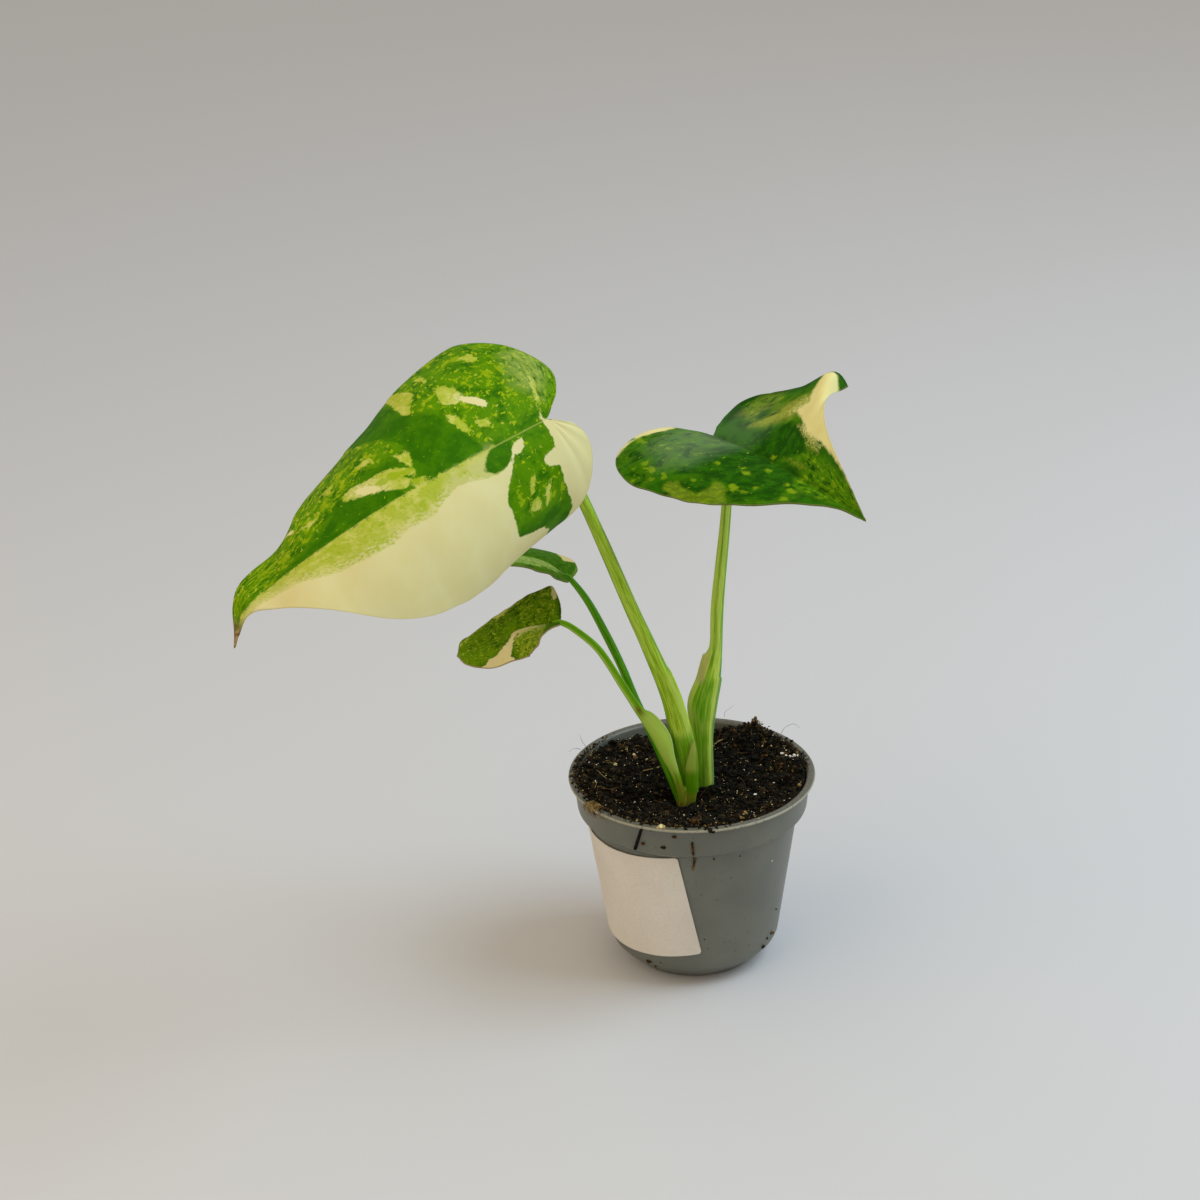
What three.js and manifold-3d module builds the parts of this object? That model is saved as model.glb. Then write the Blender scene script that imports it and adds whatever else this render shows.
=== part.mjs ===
// A young variegated monstera in a round nursery pot: four heart-shaped leaves on long stalks
// that rise from a short stem in the soil. Millimetres, +Z up. The origin is the middle of the
// pot's underside, and the photograph looks along +Y, with +X to the right.
import * as THREE from 'three';
import { mergeVertices } from 'three/addons/utils/BufferGeometryUtils.js';
import Module from 'manifold-3d';

const wasm = await Module();
wasm.setup();

// Driving dimensions
const GAP = 0.3; // clearance between neighbouring pieces
const POT_HEIGHT = 72.5;
const LIP_RADIUS = 45;
const COLLAR_RADIUS = 42.9; // outside of the upper band, under the lip
const SHOULDER_HEIGHT = 57.8; // where the tapered body meets the upper band
const SHOULDER_RADIUS = 38.45;
const HEEL_HEIGHT = 9.4; // lower end of the tapered body
const HEEL_RADIUS = 31.2;
const FOOT_RADIUS = 23;
const WALL = 1.15;
const FLOOR_TOP = 2.9;
const DRAIN_HOLES = 6;
const DRAIN_RADIUS = 2.6;
const SOIL_LEVEL = 67.6;
const LABEL_WIDTH = 84;
const LABEL_HEIGHT = 44;
const LABEL_THICKNESS = 0.3;
const LABEL_CORNER = 1.3;
const LABEL_ANGLE = -163; // degrees round the pot, counted from +X
const LABEL_MIDDLE_HEIGHT = 33;
const BLADE_THICKNESS = 0.8;
const SINUS = 1 / 11; // share of a blade's outline at which the notch behind the stalk ends

const radians = THREE.MathUtils.degToRad;
const clamp = THREE.MathUtils.clamp;
const smooth = THREE.MathUtils.smoothstep;
const lerp = THREE.MathUtils.lerp;

function vector(list) {
  return new THREE.Vector3(...list);
}

function material(color, roughness) {
  return new THREE.MeshStandardMaterial({ color, roughness, metalness: 0 });
}

// Welds a geometry's corners, drops its empty triangles and turns its faces outward.
function weld(geometry) {
  const bare = geometry.clone();
  bare.deleteAttribute('normal');
  bare.deleteAttribute('uv');
  const merged = mergeVertices(bare, 1e-4);
  const position = merged.getAttribute('position');
  const index = merged.getIndex().array;
  const kept = [];
  const [a, b, c] = [new THREE.Vector3(), new THREE.Vector3(), new THREE.Vector3()];
  let volume = 0;
  for (let i = 0; i < index.length; i += 3) {
    const [p, q, r] = [index[i], index[i + 1], index[i + 2]];
    if (p === q || q === r || r === p) continue;
    kept.push([p, q, r]);
    a.fromBufferAttribute(position, p);
    b.fromBufferAttribute(position, q);
    c.fromBufferAttribute(position, r);
    volume += a.dot(b.cross(c));
  }
  merged.setIndex(kept.flatMap(([p, q, r]) => (volume < 0 ? [p, r, q] : [p, q, r])));
  return merged;
}

function toManifold(geometry) {
  const welded = weld(geometry);
  return new wasm.Manifold(new wasm.Mesh({
    numProp: 3,
    vertProperties: new Float32Array(welded.getAttribute('position').array),
    triVerts: new Uint32Array(welded.getIndex().array),
  }));
}

function fromManifold(solid) {
  const mesh = solid.getMesh();
  const geometry = new THREE.BufferGeometry();
  geometry.setAttribute('position', new THREE.BufferAttribute(new Float32Array(mesh.vertProperties), 3));
  geometry.setIndex([...mesh.triVerts]);
  return geometry;
}

function cut(geometry, tools) {
  const solid = tools.reduce((body, tool) => body.subtract(toManifold(tool)), toManifold(geometry));
  return fromManifold(solid);
}

function fromTriangles(points, triangles) {
  const geometry = new THREE.BufferGeometry();
  const flat = points.flatMap((point) => [point.x, point.y, point.z]);
  geometry.setAttribute('position', new THREE.Float32BufferAttribute(flat, 3));
  geometry.setIndex(triangles.flat());
  return geometry;
}

// A closed solid through rings of equally many points, with a fan over each end.
function throughRings(rings) {
  const sides = rings[0].length;
  const points = rings.flat();
  const triangles = [];
  for (let ring = 0; ring + 1 < rings.length; ring += 1) {
    for (let side = 0; side < sides; side += 1) {
      const next = (side + 1) % sides;
      const [a, b] = [ring * sides + side, ring * sides + next];
      triangles.push([a, b, b + sides], [a, b + sides, a + sides]);
    }
  }
  for (const [ring, turned] of [[0, true], [rings.length - 1, false]]) {
    const centre = rings[ring].reduce((sum, point) => sum.add(point), new THREE.Vector3());
    points.push(centre.divideScalar(sides));
    for (let side = 0; side < sides; side += 1) {
      const [a, b] = [ring * sides + side, ring * sides + ((side + 1) % sides)];
      triangles.push(turned ? [b, a, points.length - 1] : [a, b, points.length - 1]);
    }
  }
  return fromTriangles(points, triangles);
}

// A closed solid from a sheet: its points move half the thickness along their normals to both
// sides, both faces have the same triangles, and a wall follows every free edge.
function thicken(points, normals, triangles, thickness) {
  const count = points.length;
  const face = (sign) => points.map((point, i) => point.clone().addScaledVector(normals[i], sign * thickness / 2));
  const edges = new Set(triangles.flatMap(([a, b, c]) => [`${a} ${b}`, `${b} ${c}`, `${c} ${a}`]));
  const solid = triangles.flatMap(([a, b, c]) => [[a, b, c], [a + count, c + count, b + count]]);
  for (const edge of edges) {
    const [a, b] = edge.split(' ').map(Number);
    if (edges.has(`${b} ${a}`)) continue;
    solid.push([b, a, a + count], [b, a + count, b + count]);
  }
  return fromTriangles([...face(1), ...face(-1)], solid);
}

// Gathers grid points of a sheet, giving points at the same place the same number.
function sheet() {
  const [points, normals, triangles, known] = [[], [], [], new Map()];
  return {
    points,
    normals,
    triangles,
    add(point, normal) {
      const key = point.toArray().map((value) => value.toFixed(3)).join();
      if (!known.has(key)) {
        known.set(key, points.length);
        points.push(point);
        normals.push(normal);
      }
      return known.get(key);
    },
    quad(a, b, c, d) {
      for (const [p, q, r] of [[a, b, c], [a, c, d]]) {
        if (p !== q && q !== r && r !== p) triangles.push([p, q, r]);
      }
    },
  };
}

// Pot

// Radius of the tapered body's outside at a height.
function bodyRadius(height) {
  const share = (height - HEEL_HEIGHT) / (SHOULDER_HEIGHT - HEEL_HEIGHT);
  return lerp(HEEL_RADIUS, SHOULDER_RADIUS, share);
}

// Radius of the pot's inside at a height within the upper band.
function collarInside(height) {
  return lerp(40.75, 41.75, (height - 61.3) / 9.3);
}

function upright(profile, segments) {
  const points = profile.map(([radius, height]) => new THREE.Vector2(radius, height));
  return new THREE.LatheGeometry(points, segments).rotateX(Math.PI / 2);
}

function potGeometry() {
  const underside = [[0, 0], [8, 0], [8.6, 1.6], [18.4, 1.6], [19, 0], [FOOT_RADIUS, 0]];
  const outside = [
    [26.4, 3.6], [27.4, 4.1], [30.3, 7.3], [HEEL_RADIUS, HEEL_HEIGHT],
    [SHOULDER_RADIUS, SHOULDER_HEIGHT], [41.7, 60.3], [41.95, 61.2], [COLLAR_RADIUS, 70.7],
  ];
  const lip = [
    [44.4, 71], [LIP_RADIUS, 71.7], [44.7, 72.3], [44.2, POT_HEIGHT], [42.7, POT_HEIGHT], [41.9, 71.9],
  ];
  const inside = [
    [collarInside(70), 70], [collarInside(61.5), 61.5], [SHOULDER_RADIUS - WALL, SHOULDER_HEIGHT + 0.6],
    [HEEL_RADIUS - WALL, HEEL_HEIGHT + 0.4], [29.4, 8.6], [24.3, FLOOR_TOP], [0, FLOOR_TOP],
  ];
  const shell = upright([...underside, ...outside, ...lip, ...inside], 64);
  const drains = [];
  for (let hole = 0; hole < DRAIN_HOLES; hole += 1) {
    const angle = (hole + 0.5) * 2 * Math.PI / DRAIN_HOLES;
    const drill = new THREE.CylinderGeometry(DRAIN_RADIUS, DRAIN_RADIUS, 4, 16).rotateX(Math.PI / 2);
    drains.push(drill.translate(13.5 * Math.cos(angle), 13.5 * Math.sin(angle), 2.2));
  }
  return cut(shell, drains);
}

// Label: a rectangle of paper bent round the tapered body, so its edges run across the taper.
function labelGeometry() {
  const taper = Math.asin((SHOULDER_RADIUS - HEEL_RADIUS)
    / Math.hypot(SHOULDER_RADIUS - HEEL_RADIUS, SHOULDER_HEIGHT - HEEL_HEIGHT));
  const middle = bodyRadius(LABEL_MIDDLE_HEIGHT) / Math.sin(taper);
  const paper = sheet();
  const [columns, rows] = [44, 4];
  const grid = [];
  for (let column = 0; column <= columns; column += 1) {
    // Columns crowd towards both ends, where the corners are round.
    const across = Math.sin((column / columns - 0.5) * Math.PI * 0.96) / Math.sin(Math.PI * 0.48);
    const x = across * LABEL_WIDTH / 2;
    const past = Math.max(0, LABEL_CORNER - (LABEL_WIDTH / 2 - Math.abs(x)));
    const trim = LABEL_CORNER - Math.sqrt(Math.max(0, LABEL_CORNER ** 2 - past ** 2));
    grid.push([]);
    for (let row = 0; row <= rows; row += 1) {
      const y = (row / rows - 0.5) * (LABEL_HEIGHT - 2 * trim);
      const slant = Math.hypot(x, middle + y);
      const turn = Math.atan2(x, middle + y) / Math.sin(taper);
      const angle = radians(LABEL_ANGLE) + turn;
      const normal = new THREE.Vector3(
        Math.cos(angle) * Math.cos(taper), Math.sin(angle) * Math.cos(taper), -Math.sin(taper));
      const radius = slant * Math.sin(taper);
      const height = HEEL_HEIGHT + (radius - HEEL_RADIUS) / Math.tan(taper);
      const point = new THREE.Vector3(radius * Math.cos(angle), radius * Math.sin(angle), height);
      point.addScaledVector(normal, GAP + LABEL_THICKNESS / 2);
      grid[column].push(paper.add(point, normal));
    }
  }
  for (let column = 0; column < columns; column += 1) {
    for (let row = 0; row < rows; row += 1) {
      paper.quad(grid[column][row], grid[column + 1][row], grid[column + 1][row + 1], grid[column][row + 1]);
    }
  }
  return thicken(paper.points, paper.normals, paper.triangles, LABEL_THICKNESS);
}

// Stem, petioles and bract: rings along a curve, each an oval that may be cupped like a gutter.
// A station is [x, y, z, half width, half thickness, cup]; facing is the side that the cup opens to.
function stalk(stations, facing, steps, grow = 0, sides = 12) {
  const path = new THREE.CatmullRomCurve3(stations.map(([x, y, z]) => new THREE.Vector3(x, y, z)),
    false, 'catmullrom', 0.5);
  const form = new THREE.CatmullRomCurve3(stations.map(([, , , w, h, cup = 0]) => new THREE.Vector3(w, h, cup)),
    false, 'catmullrom', 0.5);
  const rings = [];
  for (let step = 0; step <= steps; step += 1) {
    const centre = path.getPoint(step / steps);
    const along = path.getTangent(step / steps);
    const [wide, thick, cup] = form.getPoint(step / steps).toArray();
    const side = new THREE.Vector3().crossVectors(along, vector(facing)).normalize();
    const face = new THREE.Vector3().crossVectors(side, along);
    if (step === 0) centre.addScaledVector(along, -grow);
    if (step === steps) centre.addScaledVector(along, grow);
    const ring = [];
    for (let corner = 0; corner < sides; corner += 1) {
      const angle = corner * 2 * Math.PI / sides;
      const [x, y] = [Math.cos(angle), Math.sin(angle)];
      ring.push(centre.clone()
        .addScaledVector(side, (wide + grow) * x)
        .addScaledVector(face, (thick + grow) * y + cup * (x * x - 0.5)));
    }
    rings.push(ring);
  }
  return throughRings(rings);
}

// Leaf blades

// One leaf's surface. Each half is a fan of veins: u runs round the outline from the notch over
// the back lobe to the tip, v runs along the vein from the midrib to the edge. The flat half
// is folded up at the midrib, arched down towards its edge, and carried by the bent midrib.
function bladeSurface(design) {
  const midrib = new THREE.CatmullRomCurve3(design.midrib.map(vector), false, 'catmullrom', 0.5);
  const length = midrib.getLength();
  const outlines = [design.left, design.right].map((outline) => new THREE.CatmullRomCurve3(
    [[0, 0], ...outline, [1, 0]].map(([a, b]) => new THREE.Vector3(a, b, 0)), false, 'catmullrom', 0.5));

  // Point, side and normal of the midrib, carried on straight behind the stalk.
  function frame(along) {
    const share = clamp(along / length, 0, 1);
    const point = midrib.getPointAt(share);
    const forward = midrib.getTangentAt(share);
    point.addScaledVector(forward, Math.min(along, 0));
    const level = new THREE.Vector3().crossVectors(forward, new THREE.Vector3(0, 0, 1)).normalize();
    const up = new THREE.Vector3().crossVectors(level, forward);
    const roll = radians(lerp(...design.roll, share));
    const side = level.clone().multiplyScalar(Math.cos(roll)).addScaledVector(up, Math.sin(roll));
    const normal = up.multiplyScalar(Math.cos(roll)).addScaledVector(level, -Math.sin(roll));
    return { point, side, normal, share };
  }

  function at(u, v, half) {
    const edge = outlines[half].getPoint(u);
    const root = clamp((u - 0.36) / 0.64, 0, 1);
    const along = lerp(root, edge.x, v) * length;
    const across = Math.max(edge.y, 0) * v * length;
    const { point, side, normal, share } = frame(along);
    const fold = radians(lerp(design.fold[half], design.tipFold[half], share));
    const arch = radians(lerp(design.arch[half], design.tipArch[half], share)) / (0.38 * length);
    const reach = (Math.sin(fold) - Math.sin(fold - arch * across)) / arch;
    let rise = (Math.cos(fold - arch * across) - Math.cos(fold)) / arch;
    rise -= design.lobeDrop[half] * Math.max(-along / length, 0) ** 2 * length;
    const calm = smooth(u, 0.3, 0.5) * smooth(1 - u, 0, 0.15);
    rise += design.wave * Math.sin(2 * Math.PI * design.waves * u + 1.3 * half) * v ** 2.5 * calm;
    const hook = design.hook && half === design.hook.half
      ? Math.exp(-(((u - design.hook.at) / design.hook.spread) ** 2)) : 0;
    const out = reach + hook * (design.hook?.reach ?? 0) * smooth(v, 0, 1);
    rise += hook * ((design.hook?.lift ?? 0) * v ** 2 - (design.hook?.drop ?? 0) * v ** 9);
    return point.addScaledVector(side, half ? out : -out).addScaledVector(normal, rise);
  }

  function normalAt(u, v, half) {
    if (v === 0 || u === 1) return frame(clamp((u - 0.36) / 0.64, 0, 1) * length).normal;
    const step = 1e-3;
    const alongEdge = at(Math.min(u + step, 1), v, half).sub(at(u - step, v, half));
    const alongVein = at(u, Math.min(v + step, 1), half).sub(at(u, v - step, half));
    const normal = new THREE.Vector3().crossVectors(alongVein, alongEdge).normalize();
    return half ? normal : normal.negate();
  }

  return { at, normalAt };
}

function bladeGeometry(design, columns, rows) {
  const surface = bladeSurface(design);
  const blade = sheet();
  for (const half of [0, 1]) {
    const grid = [];
    for (let column = 0; column <= columns; column += 1) {
      const u = lerp(SINUS, 1, column / columns);
      grid.push([]);
      for (let row = 0; row <= rows; row += 1) {
        const v = row / rows;
        grid[column].push(blade.add(surface.at(u, v, half), surface.normalAt(u, v, half)));
      }
    }
    for (let column = 0; column < columns; column += 1) {
      for (let row = 0; row < rows; row += 1) {
        const corners = [
          grid[column][row], grid[column][row + 1], grid[column + 1][row + 1], grid[column + 1][row],
        ];
        blade.quad(...(half ? corners : corners.reverse()));
      }
    }
  }
  return thicken(blade.points, blade.normals, blade.triangles, BLADE_THICKNESS);
}

// Each outline lists [along, across] in shares of the midrib's length, from the notch to the tip;
// left and right are seen from the stalk, looking to the tip with the upper face up.
const largeLeaf = {
  midrib: [
    [-47, -45, 227], [-72.5, -68, 222], [-96, -81, 214], [-121, -89, 200.5],
    [-136, -91.5, 190], [-144, -94.5, 183.5], [-148, -97, 172],
  ],
  left: [
    [-0.065, 0.035], [-0.10, 0.09], [-0.09, 0.18], [-0.05, 0.285], [0.05, 0.354],
    [0.187, 0.37], [0.388, 0.342], [0.578, 0.275], [0.74, 0.135], [0.889, 0.028],
  ],
  right: [
    [-0.068, 0.045], [-0.111, 0.104], [-0.095, 0.186], [-0.057, 0.277], [0.014, 0.373],
    [0.18, 0.365], [0.38, 0.34], [0.583, 0.28], [0.726, 0.131], [0.882, 0.074],
  ],
  roll: [53, 20],
  fold: [-2, -1],
  tipFold: [1, 1],
  arch: [92, 68],
  tipArch: [88, 85],
  lobeDrop: [1.7, 1.6],
  wave: 0.3,
  waves: 4,
};

const rightLeaf = {
  midrib: [
    [9.5, 0.3, 202.2], [19.5, -14.5, 203], [29, -29, 202.5], [37.5, -43.5, 201.7],
    [46, -58, 201], [55, -72.8, 198.8],
  ],
  left: [
    [-0.036, 0.05], [-0.068, 0.13], [-0.08, 0.225], [-0.018, 0.306], [0.11, 0.352],
    [0.22, 0.44], [0.335, 0.34], [0.48, 0.23], [0.696, 0.132], [0.871, 0.055],
  ],
  right: [
    [-0.075, 0.03], [-0.165, 0.105], [-0.178, 0.245], [-0.12, 0.395], [0.004, 0.471],
    [0.155, 0.462], [0.37, 0.395], [0.56, 0.265], [0.725, 0.125], [0.854, 0.033],
  ],
  roll: [-6, -28],
  fold: [15, 19],
  tipFold: [23, 14],
  arch: [0.5, 32],
  tipArch: [-19, 25],
  lobeDrop: [0.46, -0.1],
  wave: 0.3,
  waves: 5,
  hook: { half: 0, at: 0.555, spread: 0.06, reach: 9, lift: 8.6, drop: 16 },
};

const upperLeaf = {
  midrib: [
    [-42, 0, 150.5], [-46.5, 1, 154], [-51, 1, 157], [-58, 0, 159.5],
    [-66, -3, 161.5], [-74.5, -7, 161.5], [-83.5, -11.5, 159],
  ],
  left: [
    [-0.008, 0.046], [-0.009, 0.095], [0.01, 0.15], [0.056, 0.19], [0.133, 0.265],
    [0.23, 0.29], [0.40, 0.308], [0.58, 0.248], [0.765, 0.155], [0.91, 0.07],
  ],
  right: [
    [-0.014, 0.03], [-0.024, 0.088], [-0.025, 0.174], [0.014, 0.247], [0.108, 0.287],
    [0.215, 0.325], [0.40, 0.308], [0.58, 0.244], [0.76, 0.146], [0.90, 0.06],
  ],
  roll: [-4, -6],
  fold: [14, 10],
  tipFold: [2, -3],
  arch: [24, 18],
  tipArch: [36, 44],
  lobeDrop: [0.3, 0.3],
  wave: 0.5,
  waves: 5,
};

const lowerLeaf = {
  midrib: [
    [-46, -10, 138], [-53, -9.5, 137.3], [-60, -10, 136], [-67, -12, 133.7],
    [-74.5, -14, 131], [-82, -16.5, 129],
  ],
  left: [
    [-0.009, 0.05], [-0.015, 0.127], [-0.012, 0.215], [0.05, 0.27], [0.101, 0.435],
    [0.206, 0.473], [0.394, 0.436], [0.568, 0.32], [0.801, 0.243], [0.954, 0.116],
  ],
  right: [
    [-0.01, 0.04], [-0.013, 0.126], [-0.008, 0.234], [0.028, 0.343], [0.098, 0.455],
    [0.236, 0.418], [0.385, 0.301], [0.572, 0.28], [0.77, 0.19], [0.896, 0.172],
  ],
  roll: [3, 29],
  fold: [19, 17],
  tipFold: [-1, -1],
  arch: [-2, -13],
  tipArch: [46, 51],
  lobeDrop: [0.3, 0.3],
  wave: 0.6,
  waves: 5,
};

// Stations of the green stalks, from the soil upwards
const stemStations = [
  [-3, -7.5, 48, 3.2, 3.2], [-2.7, -8, 62, 3.2, 3.2], [-2.3, -8.2, 66.5, 3.3, 3.3], [-2, -8.3, 70.5, 3, 3],
];
const largePetiole = [
  [-0.8, -4, 59, 2.8, 2], [-1.4, -5.9, 72, 3.6, 2.2], [-2.9, -9, 85.8, 4.5, 2.4, 0.5],
  [-7.1, -12, 107.4, 3.6, 2.5, 0.4], [-14.7, -17, 130.7, 2.8, 2.5], [-20.4, -20, 146.5, 2.5, 2.3],
  [-28.2, -25, 169.6, 2.3, 2.1], [-35, -31, 189.9, 2.1, 2], [-41.3, -40, 208.8, 2.1, 2],
  [-49.3, -41.4, 222, 1.9, 1.8], [-47.9, -43.9, 226, 1.5, 1.4],
];
const rightPetiole = [
  [4.6, -2.5, 58, 3.3, 2.2], [4.4, -3.2, 72, 3.6, 2.3], [4.1, -3.5, 88, 3.8, 2.3, 0.3],
  [4, -3.8, 100.5, 5.4, 2, 0.8], [6.5, -3.3, 111, 4.3, 1.9, 0.8], [8.4, -3, 119.5, 3.1, 1.9, 0.4],
  [9.4, -2.6, 125, 2.3, 1.9], [10.2, -2, 141.2, 2.3, 2], [13.7, -1, 177, 1.8, 1.7],
  [12.9, -0.8, 191, 1.8, 1.7], [9.6, 0.3, 201.2, 1.7, 1.6],
];
const upperPetiole = [
  [-3.6, -7.6, 62, 1.8, 1.2], [-8.3, -9, 77.5, 2, 1.3], [-14, -8, 91.7, 1.7, 1.4], [-19.3, -6, 103.7, 1.5, 1.4],
  [-24.2, -3, 116.3, 1.5, 1.4], [-29.2, -1, 127.7, 1.5, 1.4], [-35.6, 0, 141.1, 1.4, 1.3],
  [-41.4, -0.1, 150.0, 1.3, 1.2],
];
const lowerPetiole = [
  [-3.4, -10, 65, 1.4, 1], [-5.4, -12, 75, 1.5, 1], [-6.7, -12.5, 79.5, 1.7, 1.1], [-8.9, -13, 85.6, 2.5, 1.1, 0.5],
  [-11.3, -13, 93, 3.4, 1.2, 0.8], [-15.2, -12.5, 99.5, 3, 1.2, 0.6], [-19, -12.2, 104.3, 1.7, 1.3],
  [-24.1, -12, 113.2, 1.4, 1.3], [-32.2, -11, 127.2, 1.3, 1.3], [-40.5, -10.3, 135.2, 1.3, 1.2],
  [-45.3, -10, 138, 1.2, 1.2],
];
const bractStations = [
  [-0.6, -10.6, 64, 1.2, 0.4, 0.3], [-0.4, -11.8, 72, 2.1, 0.45, 0.6], [-0.4, -12.4, 80, 2.2, 0.45, 0.6],
  [0.2, -12.5, 86, 1.5, 0.4, 0.3], [0.5, -12.4, 91.5, 0.4, 0.35],
];
const backwards = [0.2, 1, 0.1];
const grown = {
  stem: (grow) => stalk(stemStations, [0, 1, 0], 10, grow),
  large: (grow) => stalk(largePetiole, backwards, 36, grow),
  right: (grow) => stalk(rightPetiole, backwards, 34, grow),
  upper: (grow) => stalk(upperPetiole, backwards, 26, grow, 10),
  lower: (grow) => stalk(lowerPetiole, backwards, 30, grow, 10),
  bract: (grow) => stalk(bractStations, [0, 1, 0.1], 12, grow, 10),
};

// Each stalk gives way to those listed after it, so neighbours at the crown clasp without touching.
function clasped(name, neighbours) {
  return cut(grown[name](0), neighbours.map((neighbour) => grown[neighbour](GAP)));
}

// Soil: its upper face is a relief by formula; a heap at the back right rises over the rim's level.
function soilHeight(x, y) {
  const hill = (cx, cy, size) => Math.exp(-((x - cx) ** 2 + (y - cy) ** 2) / (2 * size ** 2));
  const radius = Math.hypot(x, y);
  const lumps = Math.sin(0.62 * x + 1.3) * Math.cos(0.55 * y) + Math.sin(0.9 * y - 0.5 * x)
    + 0.7 * Math.cos(1.2 * x + 0.8 * y + 2);
  return SOIL_LEVEL + 0.8 * smooth(radius, 22, 40) - 5.4 * hill(-4, -10.5, 4.5) + 0.8 * hill(9, -6, 4)
    + 6 * hill(24, 27, 7.5) - 2.2 * hill(0, 36, 9) + 0.3 * lumps;
}

function soilGeometry() {
  const sides = 60;
  const level = (radius, height) => Array.from({ length: sides }, (_, side) => {
    const angle = side * 2 * Math.PI / sides;
    return new THREE.Vector3(radius * Math.cos(angle), radius * Math.sin(angle), height);
  });
  const rings = [
    level(24.1, FLOOR_TOP + GAP), level(29.0, 8.7), level(HEEL_RADIUS - WALL - GAP - 0.1, HEEL_HEIGHT + 0.8),
    level(SHOULDER_RADIUS - WALL - GAP - 0.1, SHOULDER_HEIGHT + 0.9), level(collarInside(61.7) - GAP - 0.1, 61.9),
  ];
  const edge = level(1, 0).map((point) => {
    const height = soilHeight(point.x * 41, point.y * 41);
    const radius = collarInside(Math.min(height, 70)) - GAP - 0.1;
    return new THREE.Vector3(point.x * radius, point.y * radius, height);
  });
  rings.push(edge);
  for (let ring = 1; ring < 13; ring += 1) {
    const share = 1 - ring / 13.5;
    rings.push(edge.map((point) => {
      const [x, y] = [point.x * share, point.y * share];
      return new THREE.Vector3(x, y, soilHeight(x, y));
    }));
  }
  const holes = ['stem', 'large', 'right', 'upper', 'lower', 'bract'].map((name) => grown[name](GAP));
  return cut(throughRings(rings), holes);
}

const potGrey = material(0x646a62, 0.45);
const soilBrown = material(0x1d1712, 0.95);
const paper = material(0xcbc0b4, 0.75);
const stalkGreen = material(0x6f9a22, 0.45);
const paleGreen = material(0x9aa648, 0.55);
const leafGreen = material(0x4c8a1c, 0.4);

const pieces = [
  ['pot', potGeometry(), potGrey],
  ['label', labelGeometry(), paper],
  ['soil', soilGeometry(), soilBrown],
  ['stem', grown.stem(0), stalkGreen],
  ['bract', clasped('bract', ['stem', 'large', 'right', 'lower']), paleGreen],
  ['petiole_large', clasped('large', ['stem']), stalkGreen],
  ['petiole_right', clasped('right', ['stem', 'large']), stalkGreen],
  ['petiole_upper', clasped('upper', ['stem', 'large', 'right']), stalkGreen],
  ['petiole_lower', clasped('lower', ['stem', 'large', 'right', 'upper']), stalkGreen],
  ['leaf_large', bladeGeometry(largeLeaf, 28, 7), leafGreen],
  ['leaf_right', bladeGeometry(rightLeaf, 34, 7), leafGreen],
  ['leaf_upper', bladeGeometry(upperLeaf, 20, 5), leafGreen],
  ['leaf_lower', bladeGeometry(lowerLeaf, 20, 5), leafGreen],
];

const group = new THREE.Group();
for (const [name, geometry, finish] of pieces) {
  const solid = weld(geometry);
  solid.computeVertexNormals();
  const mesh = new THREE.Mesh(solid, finish);
  mesh.name = name;
  group.add(mesh);
}

export default group;
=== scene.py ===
import math

import bpy
import numpy as np
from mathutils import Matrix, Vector, noise


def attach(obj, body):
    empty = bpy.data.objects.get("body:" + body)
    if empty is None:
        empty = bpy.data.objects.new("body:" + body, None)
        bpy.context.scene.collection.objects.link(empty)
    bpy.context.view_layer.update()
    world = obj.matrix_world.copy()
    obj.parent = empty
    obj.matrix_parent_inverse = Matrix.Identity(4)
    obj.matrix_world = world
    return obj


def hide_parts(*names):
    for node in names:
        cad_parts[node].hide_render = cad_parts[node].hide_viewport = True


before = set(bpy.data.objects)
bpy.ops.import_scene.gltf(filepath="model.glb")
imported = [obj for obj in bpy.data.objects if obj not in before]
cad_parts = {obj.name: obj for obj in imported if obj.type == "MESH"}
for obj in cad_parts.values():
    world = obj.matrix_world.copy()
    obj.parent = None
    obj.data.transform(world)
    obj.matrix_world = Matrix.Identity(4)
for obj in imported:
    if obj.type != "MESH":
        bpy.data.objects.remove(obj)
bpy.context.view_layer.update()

bpy.context.scene.view_settings.view_transform = "Standard"
mm = 0.001

# Curves and grids that the pieces share

def smooth(value, low, high):
    share = np.clip((value - low) / (high - low), 0, 1)
    return share * share * (3 - 2 * share)


# A smooth curve through the points, read at shares 0 to 1 of its spans
def curveAt(points, share):
    knots = np.asarray(points, float)
    spans = len(knots) - 1
    padded = np.vstack([2 * knots[0] - knots[1], knots, 2 * knots[-1] - knots[-2]])
    place = np.clip(np.atleast_1d(share), 0, 1) * spans
    span = np.minimum(place.astype(int), spans - 1)
    t = (place - span)[:, None]
    a, b, c, d = (padded[span + step] for step in range(4))
    return 0.5 * (2 * b + (c - a) * t + (2 * a - 5 * b + 4 * c - d) * t**2 + (3 * b - a - 3 * c + d) * t**3)


def unit(vectors):
    return vectors / np.linalg.norm(vectors, axis=-1, keepdims=True)


# Places round the pot's axis, with the angle in radians
def turned(radius, angle, height):
    return np.stack(np.broadcast_arrays(radius * np.cos(angle), radius * np.sin(angle), height), -1)


def headingAt(points, share):
    step = 1e-3
    return unit(curveAt(points, np.clip(share + step, 0, 1)) - curveAt(points, np.clip(share - step, 0, 1)))


def deselect():
    bpy.ops.object.select_all(action="DESELECT")


def activate(piece):
    deselect()
    piece.select_set(True)
    bpy.context.view_layer.objects.active = piece


# A flat grid to be shaped, with each vertex's share across it and up it
def addGrid(name, columns, rows):
    deselect()
    bpy.ops.mesh.primitive_grid_add(x_subdivisions=columns, y_subdivisions=rows, size=1)
    piece = bpy.context.object
    piece.name = name
    places = readPoints(piece)
    return piece, places[:, 0] + 0.5, places[:, 1] + 0.5


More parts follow.
